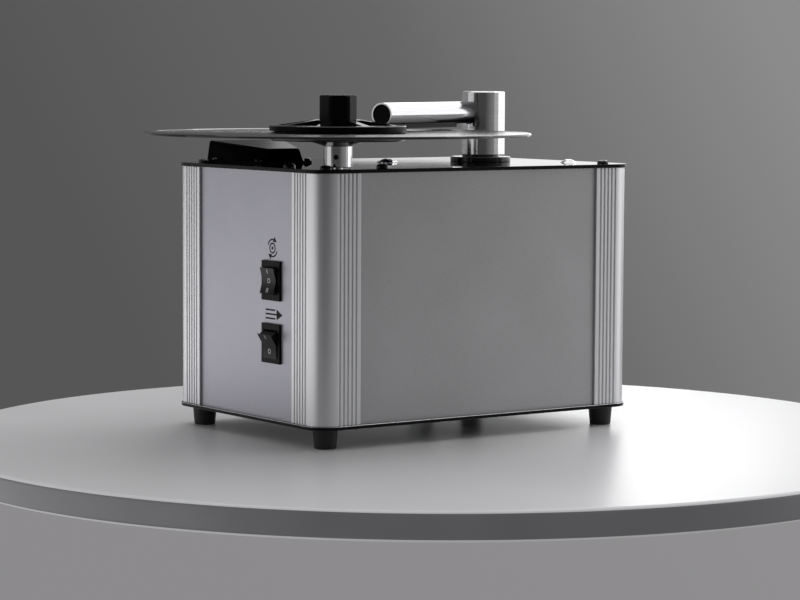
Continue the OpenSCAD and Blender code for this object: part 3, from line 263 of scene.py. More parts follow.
# %% Drawn, cast and plated metal
platter_axis = Vector((-0.1185, -0.0769, 0))
arm_pivot = Vector((0.079, 0, 0))
tube_aside = 7 * MM  # how far the tube's axis passes beside the pivot
arm_way = platter_axis - arm_pivot
arm_turn = math.atan2(arm_way.y, arm_way.x) + math.asin(tube_aside / arm_way.length)
tube_finish = grain(
    "drawn_aluminium_tube", ("#D6D6D9", "#E2E2E5"), (0.10, 0.16), 0.7, 0.0006,
    stretch=(0.02, 1, 1), detail=4, turn=arm_turn, Metallic=1.0,
)
cast_finish = grain("cast_aluminium", ("#A6A6AA", "#BCBCC0"), (0.42, 0.6), 1.6, 0.05, Metallic=1.0)
motor_finish = grain(
    "zinc_plated_steel", ("#8E8E94", "#A0A0A6"), (0.28, 0.42), 2.5, 0.006, stretch=(1, 1, 0.2), Metallic=1.0,
)
spring_finish = grain("spring_wire", ("#9A9A9E", "#B2B2B6"), (0.25, 0.35), 0.5, 0.004, Metallic=1.0)
brass_finish = grain("nickel_plated_brass", ("#C9C2AE", "#D8D2C0"), (0.2, 0.3), 0.6, 0.002, Metallic=1.0)
copper_finish = grain(
    "enamelled_copper_wire", ("#A65A2E", "#BF6E3B"), (0.25, 0.4), 0.6, 0.02,
    stretch=(0.05, 0.05, 1), Metallic=1.0,
)
print("the arm points", round(math.degrees(arm_turn), 2), "degrees from +X")

# %% [markdown]
# ## Record vinyl
# Record vinyl is glossy, and its grooves lie 0.1 mm apart, too fine to show. Seen together they
# stretch every highlight across the grooves, which the shader does with its anisotropy about the
# spindle. Slow rings in the roughness stand for louder and softer passages, 1.2 mm apart. The
# bead and the rim have no grooves, so they are as smooth as the pressing's mould. The labels are
# uncoated paper, which scatters light evenly.

# %% Pressed vinyl, its smooth rim and label paper
passage_width, dust_size = 1.2 * MM, 40 * MM
wave_radians = 20  # what the wave node runs through in one unit
vinyl_finish, vinyl_tree, vinyl_shader, vinyl_place = new_material(
    "pressed_vinyl", IOR=1.54, Anisotropic=0.6, Anisotropic_Rotation=0.25,
)
vinyl_centred = add(
    vinyl_tree, "Mapping", {"Vector": vinyl_place, "Location": -platter_axis},
).outputs["Vector"]
passages = add(
    vinyl_tree, "TexWave",
    {"Vector": vinyl_centred, "Scale": 2 * math.pi / (wave_radians * passage_width), "Distortion": 0.0},
    wave_type="RINGS", rings_direction="Z",
).outputs["Fac"]
vinyl_dust = add(
    vinyl_tree, "TexNoise", {"Vector": vinyl_centred, "Scale": 1 / dust_size, "Detail": 3},
).outputs["Fac"]
vinyl_mix = add(vinyl_tree, "Mix", {0: 0.35, 2: vinyl_dust, 3: passages}, data_type="FLOAT").outputs[0]
lay_pattern(vinyl_tree, vinyl_shader, vinyl_mix, ("#060608", "#0A0A0C"), (0.20, 0.28), 0)
vinyl_around = add(vinyl_tree, "Tangent", direction_type="RADIAL", axis="Z").outputs["Tangent"]
vinyl_tree.links.new(vinyl_around, vinyl_shader.inputs["Tangent"])
rim_finish = grain("vinyl_rim", ("#050506", "#08080A"), (0.08, 0.12), 4, 0, IOR=1.54)
label_finish = grain("label_paper", ("#7E2B27", "#8C3530"), (0.55, 0.7), 0.8, 0.01)
print("finishes:", vinyl_finish.name, rim_finish.name, label_finish.name)

# %% [markdown]
# ## Soft and hidden materials
# The lips are velvet, which scatters light off its pile, and the level's dome is tinted and
# glossy. The rest sits inside or behind the case: milky moulded tank and hose, ribbed rubber,
# coated board, and wires in the usual three colours.

# %% Velvet, rubber, tank, board and hoses
velvet = grain(
    "lip_velvet", ("#0C0C0D", "#1B1B1D"), (0.85, 0.95), 0.5, 0.08, Sheen_Weight=0.6, Sheen_Roughness=0.5,
)
seal_finish = grain("seal_rubber", ("#141415", "#1C1C1D"), (0.55, 0.7), 0.6, 0.02)
tank_finish = grain("rotomoulded_tank", ("#C9CDCE", "#DDE0E1"), (0.42, 0.55), 3, 0.03, Subsurface_Weight=0.1)
dark_moulding = grain("glass_filled_nylon", ("#1F1F22", "#2A2A2E"), (0.42, 0.58), 0.8, 0.02)
hose_finish = grain("suction_hose_rubber", ("#2A2A2E", "#38383D"), (0.45, 0.6), 1.2, 0.03)
board_finish = grain("coated_board", ("#245637", "#317048"), (0.25, 0.4), 2.5, 0.01)
milky_hose = grain("milky_vinyl_hose", ("#B2BDB7", "#C6CFCA"), (0.22, 0.32), 2, 0.006, Subsurface_Weight=0.15)
elbow_finish = grain("natural_nylon", ("#C6C6C0", "#D4D4CE"), (0.4, 0.5), 1, 0.01)
ring_finish = grain("acetal_natural", ("#D2D2CA", "#DEDED6"), (0.35, 0.45), 1, 0.006)
lens_finish = grain(
    "tinted_level_dome", ("#101C48", "#182658"), (0.03, 0.05), 3, 0, IOR=1.49, Specular_IOR_Level=0.25,
)
print("soft finishes:", velvet.name, tank_finish.name, hose_finish.name)

# %% Wire insulation, laminations and capacitor sleeve
wire_finishes = [
    grain("wire_brown", ("#4A2A1C", "#553223"), (0.4, 0.5), 1, 0.004),
    grain("wire_blue", ("#1F4E8C", "#29599A"), (0.4, 0.5), 1, 0.004),
    grain("wire_green", ("#3F7F37", "#4B8C42"), (0.4, 0.5), 1, 0.004),
]
core_finish = grain(
    "core_laminations", ("#55565A", "#6A6B70"), (0.4, 0.55), 0.7, 0.02, stretch=(1, 0.02, 0.02), Metallic=0.8,
)
sleeve_finish = grain("capacitor_sleeve", ("#12203C", "#182A4C"), (0.25, 0.35), 1, 0.004)
terminal_finish = grain("terminal_block", ("#2E6E42", "#387D4C"), (0.4, 0.5), 1, 0.006)
print("small finishes:", len(wire_finishes) + 3)

# %% [markdown]
# ## Softened edges
# Every real edge is a little round, and that roundness is what catches the light as a thin
# bright line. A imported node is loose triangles, so a copy is merged, its flat faces are joined,
# and only its sharp edges are bevelled. The copy then stands for the node, with the same sizes.
# Three pieces have more than one finish: the two plates, and the clamp, whose side is satin.


def body_of_node(node):
    """The body that a CAD node belongs to."""
    return next(b for b, members in frame["record"]["behaviour"]["bodies"].items() if node in members)


def make_piece(name, shape, material, node=None, smooth=40):
    """An object from a bmesh, with its finish. It rides with a CAD node and has its material slot."""
    mesh = bpy.data.meshes.new(name)
    shape.to_mesh(mesh)
    shape.free()
    piece = bpy.data.objects.new(name, mesh)
    bpy.context.scene.collection.objects.link(piece)
    mesh.materials.append(material)
    mesh.shade_smooth()
    mesh.set_sharp_from_angle(angle=math.radians(smooth))
    if node:
        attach(piece, body_of_node(node))
    return piece


# %% A copy of a CAD node with rounded edges
real_edge = math.radians(35)  # a smaller angle is only a step of a curved face


def soften(node, name, width_mm, material, steps=2, edge=None):
    """Stands a round-edged copy of a CAD node in its place. The new edges may have their own finish."""
    shape = bmesh.new()
    shape.from_mesh(cad[node].data)
    bmesh.ops.remove_doubles(shape, verts=shape.verts, dist=1e-6)
    bmesh.ops.dissolve_limit(shape, angle_limit=math.radians(0.8), verts=shape.verts, edges=shape.edges)
    sharp = [e for e in shape.edges if e.is_manifold and e.calc_face_angle() > real_edge]
    bmesh.ops.bevel(
        shape, geom=sharp, offset=width_mm * MM, offset_type="OFFSET", segments=steps, profile=0.5,
        affect="EDGES", material=1 if edge else -1, clamp_overlap=True,
    )
    piece = make_piece(name, shape, material, node, smooth=50)
    if edge:
        piece.data.materials.append(edge)
    flat = piece.modifiers.new("flat_faces_stay_flat", "WEIGHTED_NORMAL")
    flat.keep_sharp = True
    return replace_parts(piece, node)


softened = [
    soften("top_plate", "deck", 0.8, plate_finish, edge=painted_highlight_edge_finish),
    soften("base_plate", "base", 0.9, plate_finish, edge=painted_highlight_edge_finish),
    soften("feet", "rubber_feet", 0.7, rubber_finish),
    soften("exhaust_hood", "air_hood", 0.6, hood_finish, steps=3),
    soften("clamp_disc", "clamp_wheel", 0.45, clamp_finish),
    soften("clamp_knob", "clamp_grip", 0.7, knob_finish, steps=3),
    soften("platter", "record_platter", 0.3, platter_finish),
    soften("spindle_hub", "bright_hub", 0.25, hub_finish),
    soften("arm_post", "suction_post", 0.5, post_turned),
    soften("arm_collar", "post_collar", 0.4, collar_finish),
    soften("arm_bush", "post_bush", 0.3, collar_finish),
    soften("case_screws", "button_screws", 0.15, blackened_steel),
    soften("hood_screws", "hood_button_screws", 0.12, blackened_steel),
]
for corner in ("front_left", "front_right", "rear_left", "rear_right"):
    softened.append(soften("post_" + corner, "corner_" + corner, 0.3, post_finish))
for tilting in ("motor", "vacuum"):
    softened.append(soften(tilting + "_switch_body", tilting + "_switch_frame", 0.8, switch_finish))
    softened.append(soften(tilting + "_rocker", tilting + "_rocker_cap", 0.35, rocker_finish))
print("softened:", {piece.name: len(piece.data.polygons) for piece in softened})

# %% Plates and clamp with more than one finish
flat_face, painted_highlight_face, side_face = 0, 1, 2
for plate, inward in (("deck", -1), ("base", 1)):  # the panels are below the deck and above the base
    plate_mesh = bpy.data.objects[plate].data
    plate_mesh.materials.append(side_finish)
    # the bevels that face the panels keep the painted highlight colour
    for face in plate_mesh.polygons:
        if abs(face.normal.z) < 0.3:
            face.material_index = side_face
        elif face.normal.z * inward < 0:
            face.material_index = flat_face
clamp_mesh = bpy.data.objects["clamp_wheel"].data
clamp_mesh.materials.append(knob_finish)
for face in clamp_mesh.polygons:
    face.material_index = int(abs(face.normal.z) < 0.4)

# %% [markdown]
# ## Finishes of the other CAD nodes
# The remaining nodes already have the right shape, so they only get a material. Most of them
# are inside the case, and they are dressed as carefully as the rest, because the part is also
# opened up and looked at piece by piece.

# %% Materials for the nodes that stay
kept_finishes = {
    panel_finish: ("front_panel", "rear_panel"),
    end_panel_finish: ("left_panel", "right_panel"),
    cast_finish: ("drive_gearbox", "motor_bracket", "vacuum_impeller", "pickup_tube"),
    motor_finish: ("drive_motor", "vacuum_motor", "collar_nut"),
    hub_finish: ("spindle_bearing", "drive_shaft"),
    stud_finish: ("spindle_stud",),
    blackened_steel: ("grub_screw",),
    seal_finish: ("clamp_seal",),
    tube_finish: ("arm_tube",),
    cap_finish: ("arm_end_cap",),
    velvet: ("arm_lips",),
    ring_finish: ("thrust_ring",),
    tank_finish: ("waste_tank", "tank_lid"),
    rubber_finish: ("vacuum_mounts",),
    dark_moulding: ("fan_housing", "exhaust_duct", "inlet_elbow", "power_inlet", "fuse_drawer", "hose_clips"),
    board_finish: ("circuit_board",),
    elbow_finish: ("drain_elbow",),
    bright_trim: ("level_bezel", "service_plug"),
    lens_finish: ("level_lens",),
}
for material, names in kept_finishes.items():
    for name in names:
        cad[name].data.materials.clear()
        cad[name].data.materials.append(material)
print("dressed nodes:", sum(len(names) for names in kept_finishes.values()))

# %% [markdown]
# ## The record
# A record has a raised bead at its rim, a field of grooves in a few bands, and a raised label
# area, so that stacked records touch only at bead and label. A half section of those heights is
# spun once round the spindle, which is how the pressing's own mould is turned. The grooves lie
# half a millimetre below the bead here, on the deep side, so that the far bead catches the light.

# %% Record spun from its half section
record_low, record_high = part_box("record_disc")
record_radius, record_base, record_top = (record_high.x - record_low.x) / 2, record_low.z, record_high.z
bands_mm = ((60, 78), (79.2, 97), (98.2, 115), (116.2, 131), (132.2, 144.5))
label_mm, field_mm, groove_mm = -0.06, -0.5, -0.45  # heights, counted from the top of the bead
bead_start_mm = 147.2
outline_mm = [(3.65, label_mm), (50.2, label_mm), (50.4, 0.0), (51.5, 0.0), (53.0, field_mm)]
for inner, outer in bands_mm:
    outline_mm += [
        (inner, field_mm), (inner + 0.1, groove_mm), (outer - 0.1, groove_mm), (outer, field_mm),
    ]
outline_mm += [(bead_start_mm, field_mm), (148.6, 0.0), (150.4, 0.0), (record_radius / MM, -0.6)]
thickness_mm = (record_top - record_base) / MM
section_mm = outline_mm + [(r, -thickness_mm - z) for r, z in reversed(outline_mm)]
record_shape = bmesh.new()
corners = [
    record_shape.verts.new((platter_axis.x + r * MM, platter_axis.y, record_top + z * MM))
    for r, z in section_mm
]
borders = [record_shape.edges.new((a, b)) for a, b in zip(corners, corners[1:] + corners[:1])]
bmesh.ops.spin(
    record_shape, geom=borders + corners, cent=(*platter_axis.xy, 0),
    axis=(0, 0, 1), angle=2 * math.pi, steps=256, use_merge=True,
)
bmesh.ops.remove_doubles(record_shape, verts=record_shape.verts, dist=1e-7)
bmesh.ops.recalc_face_normals(record_shape, faces=record_shape.faces)
record = make_piece("record", record_shape, vinyl_finish, "record_disc", smooth=12)
record.data.materials.append(rim_finish)
for face in record.data.polygons:  # the bead, the rim and the underside are smooth
    reach = (face.center - platter_axis).xy.length
    face.material_index = int(face.normal.z < 0.5 or reach > bead_start_mm * MM)
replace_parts(record, "record_disc")

# %% Paper labels on both sides
paper = 0.04 * MM
for side, level in (("upper", record_top - paper / 2), ("lower", record_base + paper / 2)):
    label_shape = bmesh.new()
    for radius in (4.2, 50.0):
        bmesh.ops.create_circle(
            label_shape, segments=96, radius=radius * MM,
            matrix=Matrix.Translation((*platter_axis.xy, level)),
        )
    bmesh.ops.bridge_loops(label_shape, edges=label_shape.edges[:])
    bmesh.ops.solidify(label_shape, geom=label_shape.faces[:], thickness=paper)
    bmesh.ops.recalc_face_normals(label_shape, faces=label_shape.faces)
    make_piece("record_label_" + side, label_shape, label_finish, "record_disc")
print("two labels, 100 mm across")

# %% [markdown]
# ## Printed marks
# Small marks are printed on the rockers, and two plain signs stand above the switches. Each is
# drawn flat, in the plane of the left panel, then laid on the surface behind it: every corner
# moves along X until it meets that surface, and the print gets a thickness of a tenth of a
# millimetre. So the marks follow the hollow of a rocker.

# %% Drawing bars, rings and arrow heads
def bar(shape, y, z, wide, high):
    """A flat bar in the plane of the panel, cut into short pieces so that it can bend."""
    made = bmesh.ops.create_grid(shape, x_segments=2, y_segments=6, size=0.5)["verts"]
    bmesh.ops.scale(shape, vec=(wide * MM, high * MM, 1), verts=made)
    stand = Matrix(((0, 0, 1, 0), (1, 0, 0, y * MM), (0, 1, 0, z * MM), (0, 0, 0, 1)))
    bmesh.ops.transform(shape, matrix=stand, verts=made)


def ring(shape, y, z, outer, inner, start=0.0, sweep=360.0):
    """A flat ring or arc in the plane of the panel, spun from a short line."""
    way = Vector((0, math.cos(math.radians(start)), math.sin(math.radians(start))))
    ends = [shape.verts.new(Vector((0, y, z)) * MM + way * radius * MM) for radius in (inner, outer)]
    line = shape.edges.new(ends)
    bmesh.ops.spin(
        shape, geom=[*ends, line], cent=(0, y * MM, z * MM), axis=(1, 0, 0),
        angle=math.radians(sweep), steps=32, use_merge=sweep > 359,
    )


def arrow_head(shape, y, z, size, turned):
    """A flat triangle that points along Y when turned by nothing, and towards +Z at a quarter turn."""
    outline = ((0.6, 0), (-0.4, 0.5), (-0.4, -0.5))
    corners = [shape.verts.new((0, size * a * MM, size * b * MM)) for a, b in outline]
    shape.faces.new(corners)
    turn = Matrix.Translation((0, y * MM, z * MM)) @ Matrix.Rotation(math.radians(turned), 4, "X")
    bmesh.ops.transform(shape, matrix=turn, verts=corners)


print("drawing helpers ready")


# %% Laying a print on a surface
print_thickness, print_sunk, outside_x = 0.1 * MM, 0.02 * MM, -0.3


def vertices(geometry):
    """The vertices among the results of an operator."""
    return [item for item in geometry if isinstance(item, bmesh.types.BMVert)]


def lay_print(name, shape, target, material):
    """Lays a flat drawing on the CAD node that faces it and gives it a thickness."""
    bmesh.ops.remove_doubles(shape, verts=shape.verts, dist=1e-7)
    behind = cad[target].data
    surface = BVHTree.FromPolygons([v.co for v in behind.vertices], [p.vertices for p in behind.polygons])
    for vert in shape.verts:
        place = surface.ray_cast(Vector((outside_x, vert.co.y, vert.co.z)), Vector((1, 0, 0)))[0]
        vert.co.x = place.x + print_sunk
    grown = bmesh.ops.extrude_face_region(shape, geom=shape.faces[:])["geom"]
    bmesh.ops.translate(shape, vec=(-print_thickness, 0, 0), verts=vertices(grown))
    bmesh.ops.recalc_face_normals(shape, faces=shape.faces)
    return make_piece(name, shape, material, target)


print("prints are", print_thickness / MM, "mm thick")

# %% Marks on the rockers
motor_middle, vacuum_middle, switch_y = 128.7, 79.0, -38.6
motor_marks = bmesh.new()
bar(motor_marks, switch_y, motor_middle + 7.4, 0.7, 3.4)
bar(motor_marks, switch_y - 0.9, motor_middle - 7.4, 0.7, 3.4)
bar(motor_marks, switch_y + 0.9, motor_middle - 7.4, 0.7, 3.4)
ring(motor_marks, switch_y, motor_middle, 2.0, 1.35)
lay_print("motor_rocker_marks", motor_marks, "motor_rocker", mark_finish)
vacuum_marks = bmesh.new()
bar(vacuum_marks, switch_y, vacuum_middle + 5.2, 0.7, 3.0)
ring(vacuum_marks, switch_y, vacuum_middle - 6.2, 2.0, 1.35)
lay_print("vacuum_rocker_marks", vacuum_marks, "vacuum_rocker", mark_finish)
print("marks on both rockers")

# %% Signs above the switches: a turning record, and air drawn along
motor_sign_z, vacuum_sign_z = 154.4, 102
turning_sign = bmesh.new()
ring(turning_sign, switch_y, motor_sign_z, 4.4, 3.2)
ring(turning_sign, switch_y, motor_sign_z, 1.3, 0.0)
for way in (0, 180):
    ring(turning_sign, switch_y, motor_sign_z, 7.4, 6.2, start=way + 20, sweep=95)
    tip = math.radians(way + 120)
    arrow_head(
        turning_sign, switch_y + 7 * math.cos(tip), motor_sign_z + 7 * math.sin(tip), 4.6, way + 210,
    )
lay_print("motor_sign", turning_sign, "left_panel", sign_finish)
air_sign = bmesh.new()
for aside, rise, length in ((3, -3.4, 14), (1, 0, 18), (3, 3.4, 14)):
    bar(air_sign, switch_y + aside, vacuum_sign_z + rise, length, 1.3)
arrow_head(air_sign, switch_y - 9.5, vacuum_sign_z, 8.6, 180)
lay_print("vacuum_sign", air_sign, "left_panel", sign_finish)
print("two signs, about 15 and 25 mm wide")

# %% [markdown]
# ## Wires, hoses and spring
# The CAD model holds plain round solids for the wires and hoses. A real run of wire is three
# insulated strands laid round each other. Their route is the CAD's, and each strand goes round it
# once in 60 mm. The lift spring is wound from one wire and stretches between case and arm. The
# suction hose is ribbed, so that it bends without closing.

# %% Strands along the routes
routes = {  # points in millimetres, with the radius of the whole bundle
    "inlet_wires": (3.0, [
        (0, 85.9, 40), (0, 78, 40), (0, 62, 35), (4, 40, 28.5), (8, 10, 27), (7, -18, 31), (2, -34, 41),
        (-3, -42, 46), (-4, -43, 42), (-4, -43, 35.1)]),
    "motor_wires": (2.5, [
        (-100, -58, 146.9), (-100, -58, 138), (-94, -55, 115), (-84, -53, 92), (-70, -54, 74),
        (-55, -58, 64), (-44, -60, 60), (-40, -60, 56), (-40, -60, 50.1)]),
    "motor_switch_wires": (2.5, [
        (-126.4, -43, 128.7), (-119, -43, 128.7), (-113, -47, 117), (-106, -55, 98), (-94, -62, 80),
        (-78, -67, 67), (-60, -70, 60), (-42, -69, 59), (-36, -69, 56), (-36, -69, 50.1)]),
    "vacuum_switch_wires": (2.5, [
        (-126.4, -34, 79), (-118, -34, 79), (-102, -36, 67), (-84, -42, 59), (-66, -48, 58),
        (-50, -51, 59), (-45, -51, 56), (-45, -51, 50.1)]),
    "vacuum_wires": (2.5, [
        (-62, 5.8, 50), (-62, -4, 50), (-54, -18, 50), (-40, -30, 49), (-24, -38, 47), (-15, -42, 45),
        (-12, -43, 41), (-12, -43, 35.1)]),
}


def smooth_route(points, steps=8):
    """More points on a smooth line through the given ones."""
    points = [Vector(p) for p in points]
    points = [2 * points[0] - points[1], *points, 2 * points[-1] - points[-2]]
    line = []
    for a, b, c, d in zip(points, points[1:], points[2:], points[3:]):
        for step in range(steps):
            t = step / steps
            curved = (2 * a - 5 * b + 4 * c - d) * t ** 2 + (3 * b - a - 3 * c + d) * t ** 3
            line.append(0.5 * (2 * b + (c - a) * t + curved))
    return line + [points[-2]]


def strand(name, line, radius, material):
    """A round strand of the wiring along a line of points in millimetres, as a mesh."""
    curve = bpy.data.curves.new(name, "CURVE")
    curve.dimensions = "3D"
    curve.bevel_depth, curve.bevel_resolution, curve.use_fill_caps = radius * MM, 3, True
    spline = curve.splines.new("POLY")
    spline.points.add(len(line) - 1)
    for point, place in zip(spline.points, line):
        point.co = (*(place * MM), 1)
    drawn = bpy.data.objects.new(name + "_line", curve)
    bpy.context.scene.collection.objects.link(drawn)
    shape = bmesh.new()
    shape.from_mesh(drawn.to_mesh())
    bmesh.ops.remove_doubles(shape, verts=shape.verts, dist=1e-7)
    bmesh.ops.recalc_face_normals(shape, faces=shape.faces)
    bpy.data.objects.remove(drawn)
    return make_piece(name, shape, material, "wiring")


def beside(line, offset, turns_mm, phase):
    """The line moved aside by offset, going once round it every turns_mm."""
    moved, travelled, across = [], 0.0, Vector((0.3, 0.4, 0.86))
    for i, point in enumerate(line):
        along = (line[min(i + 1, len(line) - 1)] - line[max(i - 1, 0)]).normalized()
        travelled += (point - line[i - 1]).length if i else 0
        across = (across - along * across.dot(along)).normalized()
        moved.append(point + Quaternion(along, 2 * math.pi * travelled / turns_mm + phase) @ across * offset)
    return moved


lay_mm = 60  # a strand goes round its bundle once in this length
strand_share, strand_aside = 0.46, 0.53  # its radius and its way off the middle, of the bundle's radius
wires = []
for name, (bundle, points) in routes.items():
    middle = smooth_route(points)
    for number, finish in enumerate(wire_finishes):
        line = beside(middle, bundle * strand_aside, lay_mm, number * 2 * math.pi / 3)
        wires.append(strand(name + "_" + "abc"[number], line, bundle * strand_share, finish))
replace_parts(wires[0], "wiring")
print(len(wires), "strands")

# %% Lift spring
spring_low, spring_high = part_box("lift_spring")
wire_radius, spring_radius, spring_turns = 0.7 * MM, 13.25 * MM, 5
spring_shape = bmesh.new()
bmesh.ops.create_circle(
    spring_shape, segments=12, radius=wire_radius,
    matrix=Matrix.Translation(arm_pivot + Vector((spring_radius, 0, spring_low.z + wire_radius)))
    @ Matrix.Rotation(math.pi / 2, 4, "X"),
)
steps = 48 * spring_turns
rise = (spring_high.z - spring_low.z - 2 * wire_radius) / steps
bmesh.ops.spin(
    spring_shape, geom=spring_shape.edges[:] + spring_shape.verts[:], cent=arm_pivot, axis=(0, 0, 1),
    dvec=(0, 0, rise), angle=2 * math.pi * spring_turns, steps=steps,
)
bmesh.ops.holes_fill(spring_shape, edges=[e for e in spring_shape.edges if e.is_boundary], sides=12)
bmesh.ops.recalc_face_normals(spring_shape, faces=spring_shape.faces)
spring = make_piece("lift_spring_coil", spring_shape, spring_finish)
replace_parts(spring, "lift_spring")
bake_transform(spring)
print("spring with", spring_turns, "turns")

# %% Ribbed suction hose
hose_low, hose_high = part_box("suction_hose")
hose_middle = (hose_low + hose_high) / 2
outer, inner, wall_mm = (hose_high.z - hose_low.z) / 2, 13.55 * MM, 1.0
valley = inner + wall_mm * MM
ribs, steps_per_rib = 5, 8
hose_shape = bmesh.new()
profile = []
for step in range(ribs * steps_per_rib + 1):
    share = step / (ribs * steps_per_rib)
    wave = 0.5 - 0.5 * math.cos(2 * math.pi * ribs * share)
    along = hose_low.x + (hose_high.x - hose_low.x) * share
    height = hose_middle.z + valley + (outer - valley) * wave
    profile.append(hose_shape.verts.new((along, hose_middle.y, height)))
profile += [
    hose_shape.verts.new((x, hose_middle.y, hose_middle.z + inner)) for x in (hose_high.x, hose_low.x)
]
walls = [hose_shape.edges.new((a, b)) for a, b in zip(profile, profile[1:] + profile[:1])]
bmesh.ops.spin(
    hose_shape, geom=walls + profile, cent=hose_middle,
    axis=(1, 0, 0), angle=2 * math.pi, steps=64, use_merge=True,
)
bmesh.ops.remove_doubles(hose_shape, verts=hose_shape.verts, dist=1e-7)
bmesh.ops.recalc_face_normals(hose_shape, faces=hose_shape.faces)
ribbed = make_piece("ribbed_hose", hose_shape, hose_finish, "suction_hose", smooth=60)
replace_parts(ribbed, "suction_hose")
print("ribbed hose", round((hose_high.x - hose_low.x) / MM, 1), "mm long")

# %% Level and drain hose
level_low, level_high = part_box("level_hose")
tube_radius, tube_wall, tube_bend = 3 * MM, 1 * MM, 8 * MM
level_x = (level_low.x + level_high.x) / 2
upright_y, lying_z = level_high.y - tube_radius, level_low.z + tube_radius
tube_shape = bmesh.new()
for radius in (tube_radius, tube_radius - tube_wall):
    bmesh.ops.create_circle(
        tube_shape, segments=32, radius=radius,
        matrix=Matrix.Translation((level_x, level_low.y, lying_z)) @ Matrix.Rotation(math.pi / 2, 4, "X"),
    )
bmesh.ops.bridge_loops(tube_shape, edges=tube_shape.edges[:])
grown = bmesh.ops.extrude_face_region(tube_shape, geom=tube_shape.faces[:])["geom"]
bmesh.ops.translate(
    tube_shape, vec=(0, upright_y - tube_bend - level_low.y, 0), verts=vertices(grown),
)
turned = bmesh.ops.spin(
    tube_shape, geom=[g for g in grown if g.is_valid],
    cent=(level_x, upright_y - tube_bend, lying_z + tube_bend), axis=(1, 0, 0), angle=math.pi / 2, steps=16,
)["geom_last"]
turned = [g for g in turned if isinstance(g, bmesh.types.BMFace)]
grown = bmesh.ops.extrude_face_region(tube_shape, geom=turned)["geom"]
bmesh.ops.delete(tube_shape, geom=[face for face in turned if face.is_valid], context="FACES")
bmesh.ops.translate(
    tube_shape, vec=(0, 0, level_high.z - lying_z - tube_bend), verts=vertices(grown),
)
bmesh.ops.remove_doubles(tube_shape, verts=tube_shape.verts, dist=1e-7)
bmesh.ops.recalc_face_normals(tube_shape, faces=tube_shape.faces)
level_tube = make_piece("level_tube", tube_shape, milky_hose, "level_hose", smooth=50)
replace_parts(level_tube, "level_hose")
print("level tube up to", round(level_high.z / MM, 1), "mm")

# %% [markdown]
# ## Small parts of the electrics and the level
# The board carries a transformer, a capacitor and a terminal block, each of its own material,
# and the inlet has three plated pins. They are thin jackets over the CAD's plain blocks, so they
# stand proud by a fraction of a millimetre. The spirit level gets its target ring.

# %% Jackets on the board
def block(name, low, high, material, node, edge=0.6):
    """A block between two corners in millimetres, with rounded edges."""
    shape = bmesh.new()
    bmesh.ops.create_cube(shape, size=1.0)
    low, high = Vector(low) * MM, Vector(high) * MM
    bmesh.ops.scale(shape, vec=high - low, verts=shape.verts)
    bmesh.ops.translate(shape, vec=(low + high) / 2, verts=shape.verts)
    bmesh.ops.bevel(
        shape, geom=shape.edges[:], offset=edge * MM, segments=3, profile=0.5, affect="EDGES", material=-1,
    )
    return make_piece(name, shape, material, node)


board = "circuit_board"
block("transformer_core", (-52.3, -74.3, 28.0), (-21.7, -45.7, 47.0), core_finish, board)
block("transformer_winding", (-48.0, -76.5, 30.0), (-26.0, -43.5, 45.0), copper_finish, board, edge=3)
block("terminal_block", (-16.2, -48.2, 26.6), (6.2, -37.8, 35.0), terminal_finish, board, edge=0.5)
for number in range(4):
    lead_x = -14 + 5 * number
    block(
        "relay_lead_" + str(number), (lead_x, -49.6, 26.6), (lead_x + 2.5, -48.0, 29.5), brass_finish, board,
        edge=0.3,
    )
can_radius, can_height, can_middle = 9.2 * MM, 30 * MM, Vector((-10, -66, 41.4)) * MM
can_shape = bmesh.new()
bmesh.ops.create_cone(
    can_shape, cap_ends=True, segments=48, radius1=can_radius, radius2=can_radius, depth=can_height,
    matrix=Matrix.Translation(can_middle),
)
can_rims = [e for e in can_shape.edges if e.calc_face_angle(0) > 1]
bmesh.ops.bevel(can_shape, geom=can_rims, offset=1 * MM, segments=3, profile=0.5, affect="EDGES", material=-1)
make_piece("capacitor_sleeve", can_shape, sleeve_finish, board)
print("board parts: core, winding, terminal block, capacitor")

# %% Pins of the inlet
inlet_face_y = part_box("power_inlet")[1].y / MM - 3.0
half_wide, half_high = 1.15, 2.15
for number, (x, z) in enumerate(((-5.5, 44), (5.5, 44), (0, 48))):
    block(
        "inlet_pin_" + str(number), (x - half_wide, inlet_face_y - 13.9, z - half_high),
        (x + half_wide, inlet_face_y - 1.6, z + half_high), brass_finish, "power_inlet", edge=0.5,
    )
print("three pins in the inlet")

# %% Target ring of the spirit level
dome_low, dome_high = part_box("level_lens")
dome_middle = (dome_low + dome_high) / 2
ring_place = Vector((dome_middle.x, dome_middle.y, dome_high.z - 0.35 * MM))
level_ring = bmesh.new()
for radius in (2.6, 2.2):
    bmesh.ops.create_circle(
        level_ring, segments=48, radius=radius * MM, matrix=Matrix.Translation(ring_place),
    )
bmesh.ops.bridge_loops(level_ring, edges=level_ring.edges[:])
bmesh.ops.solidify(level_ring, geom=level_ring.faces[:], thickness=-0.3 * MM)
bmesh.ops.recalc_face_normals(level_ring, faces=level_ring.faces)
make_piece("level_ring", level_ring, mark_finish, "level_lens")
print("level ring, 5 mm across")
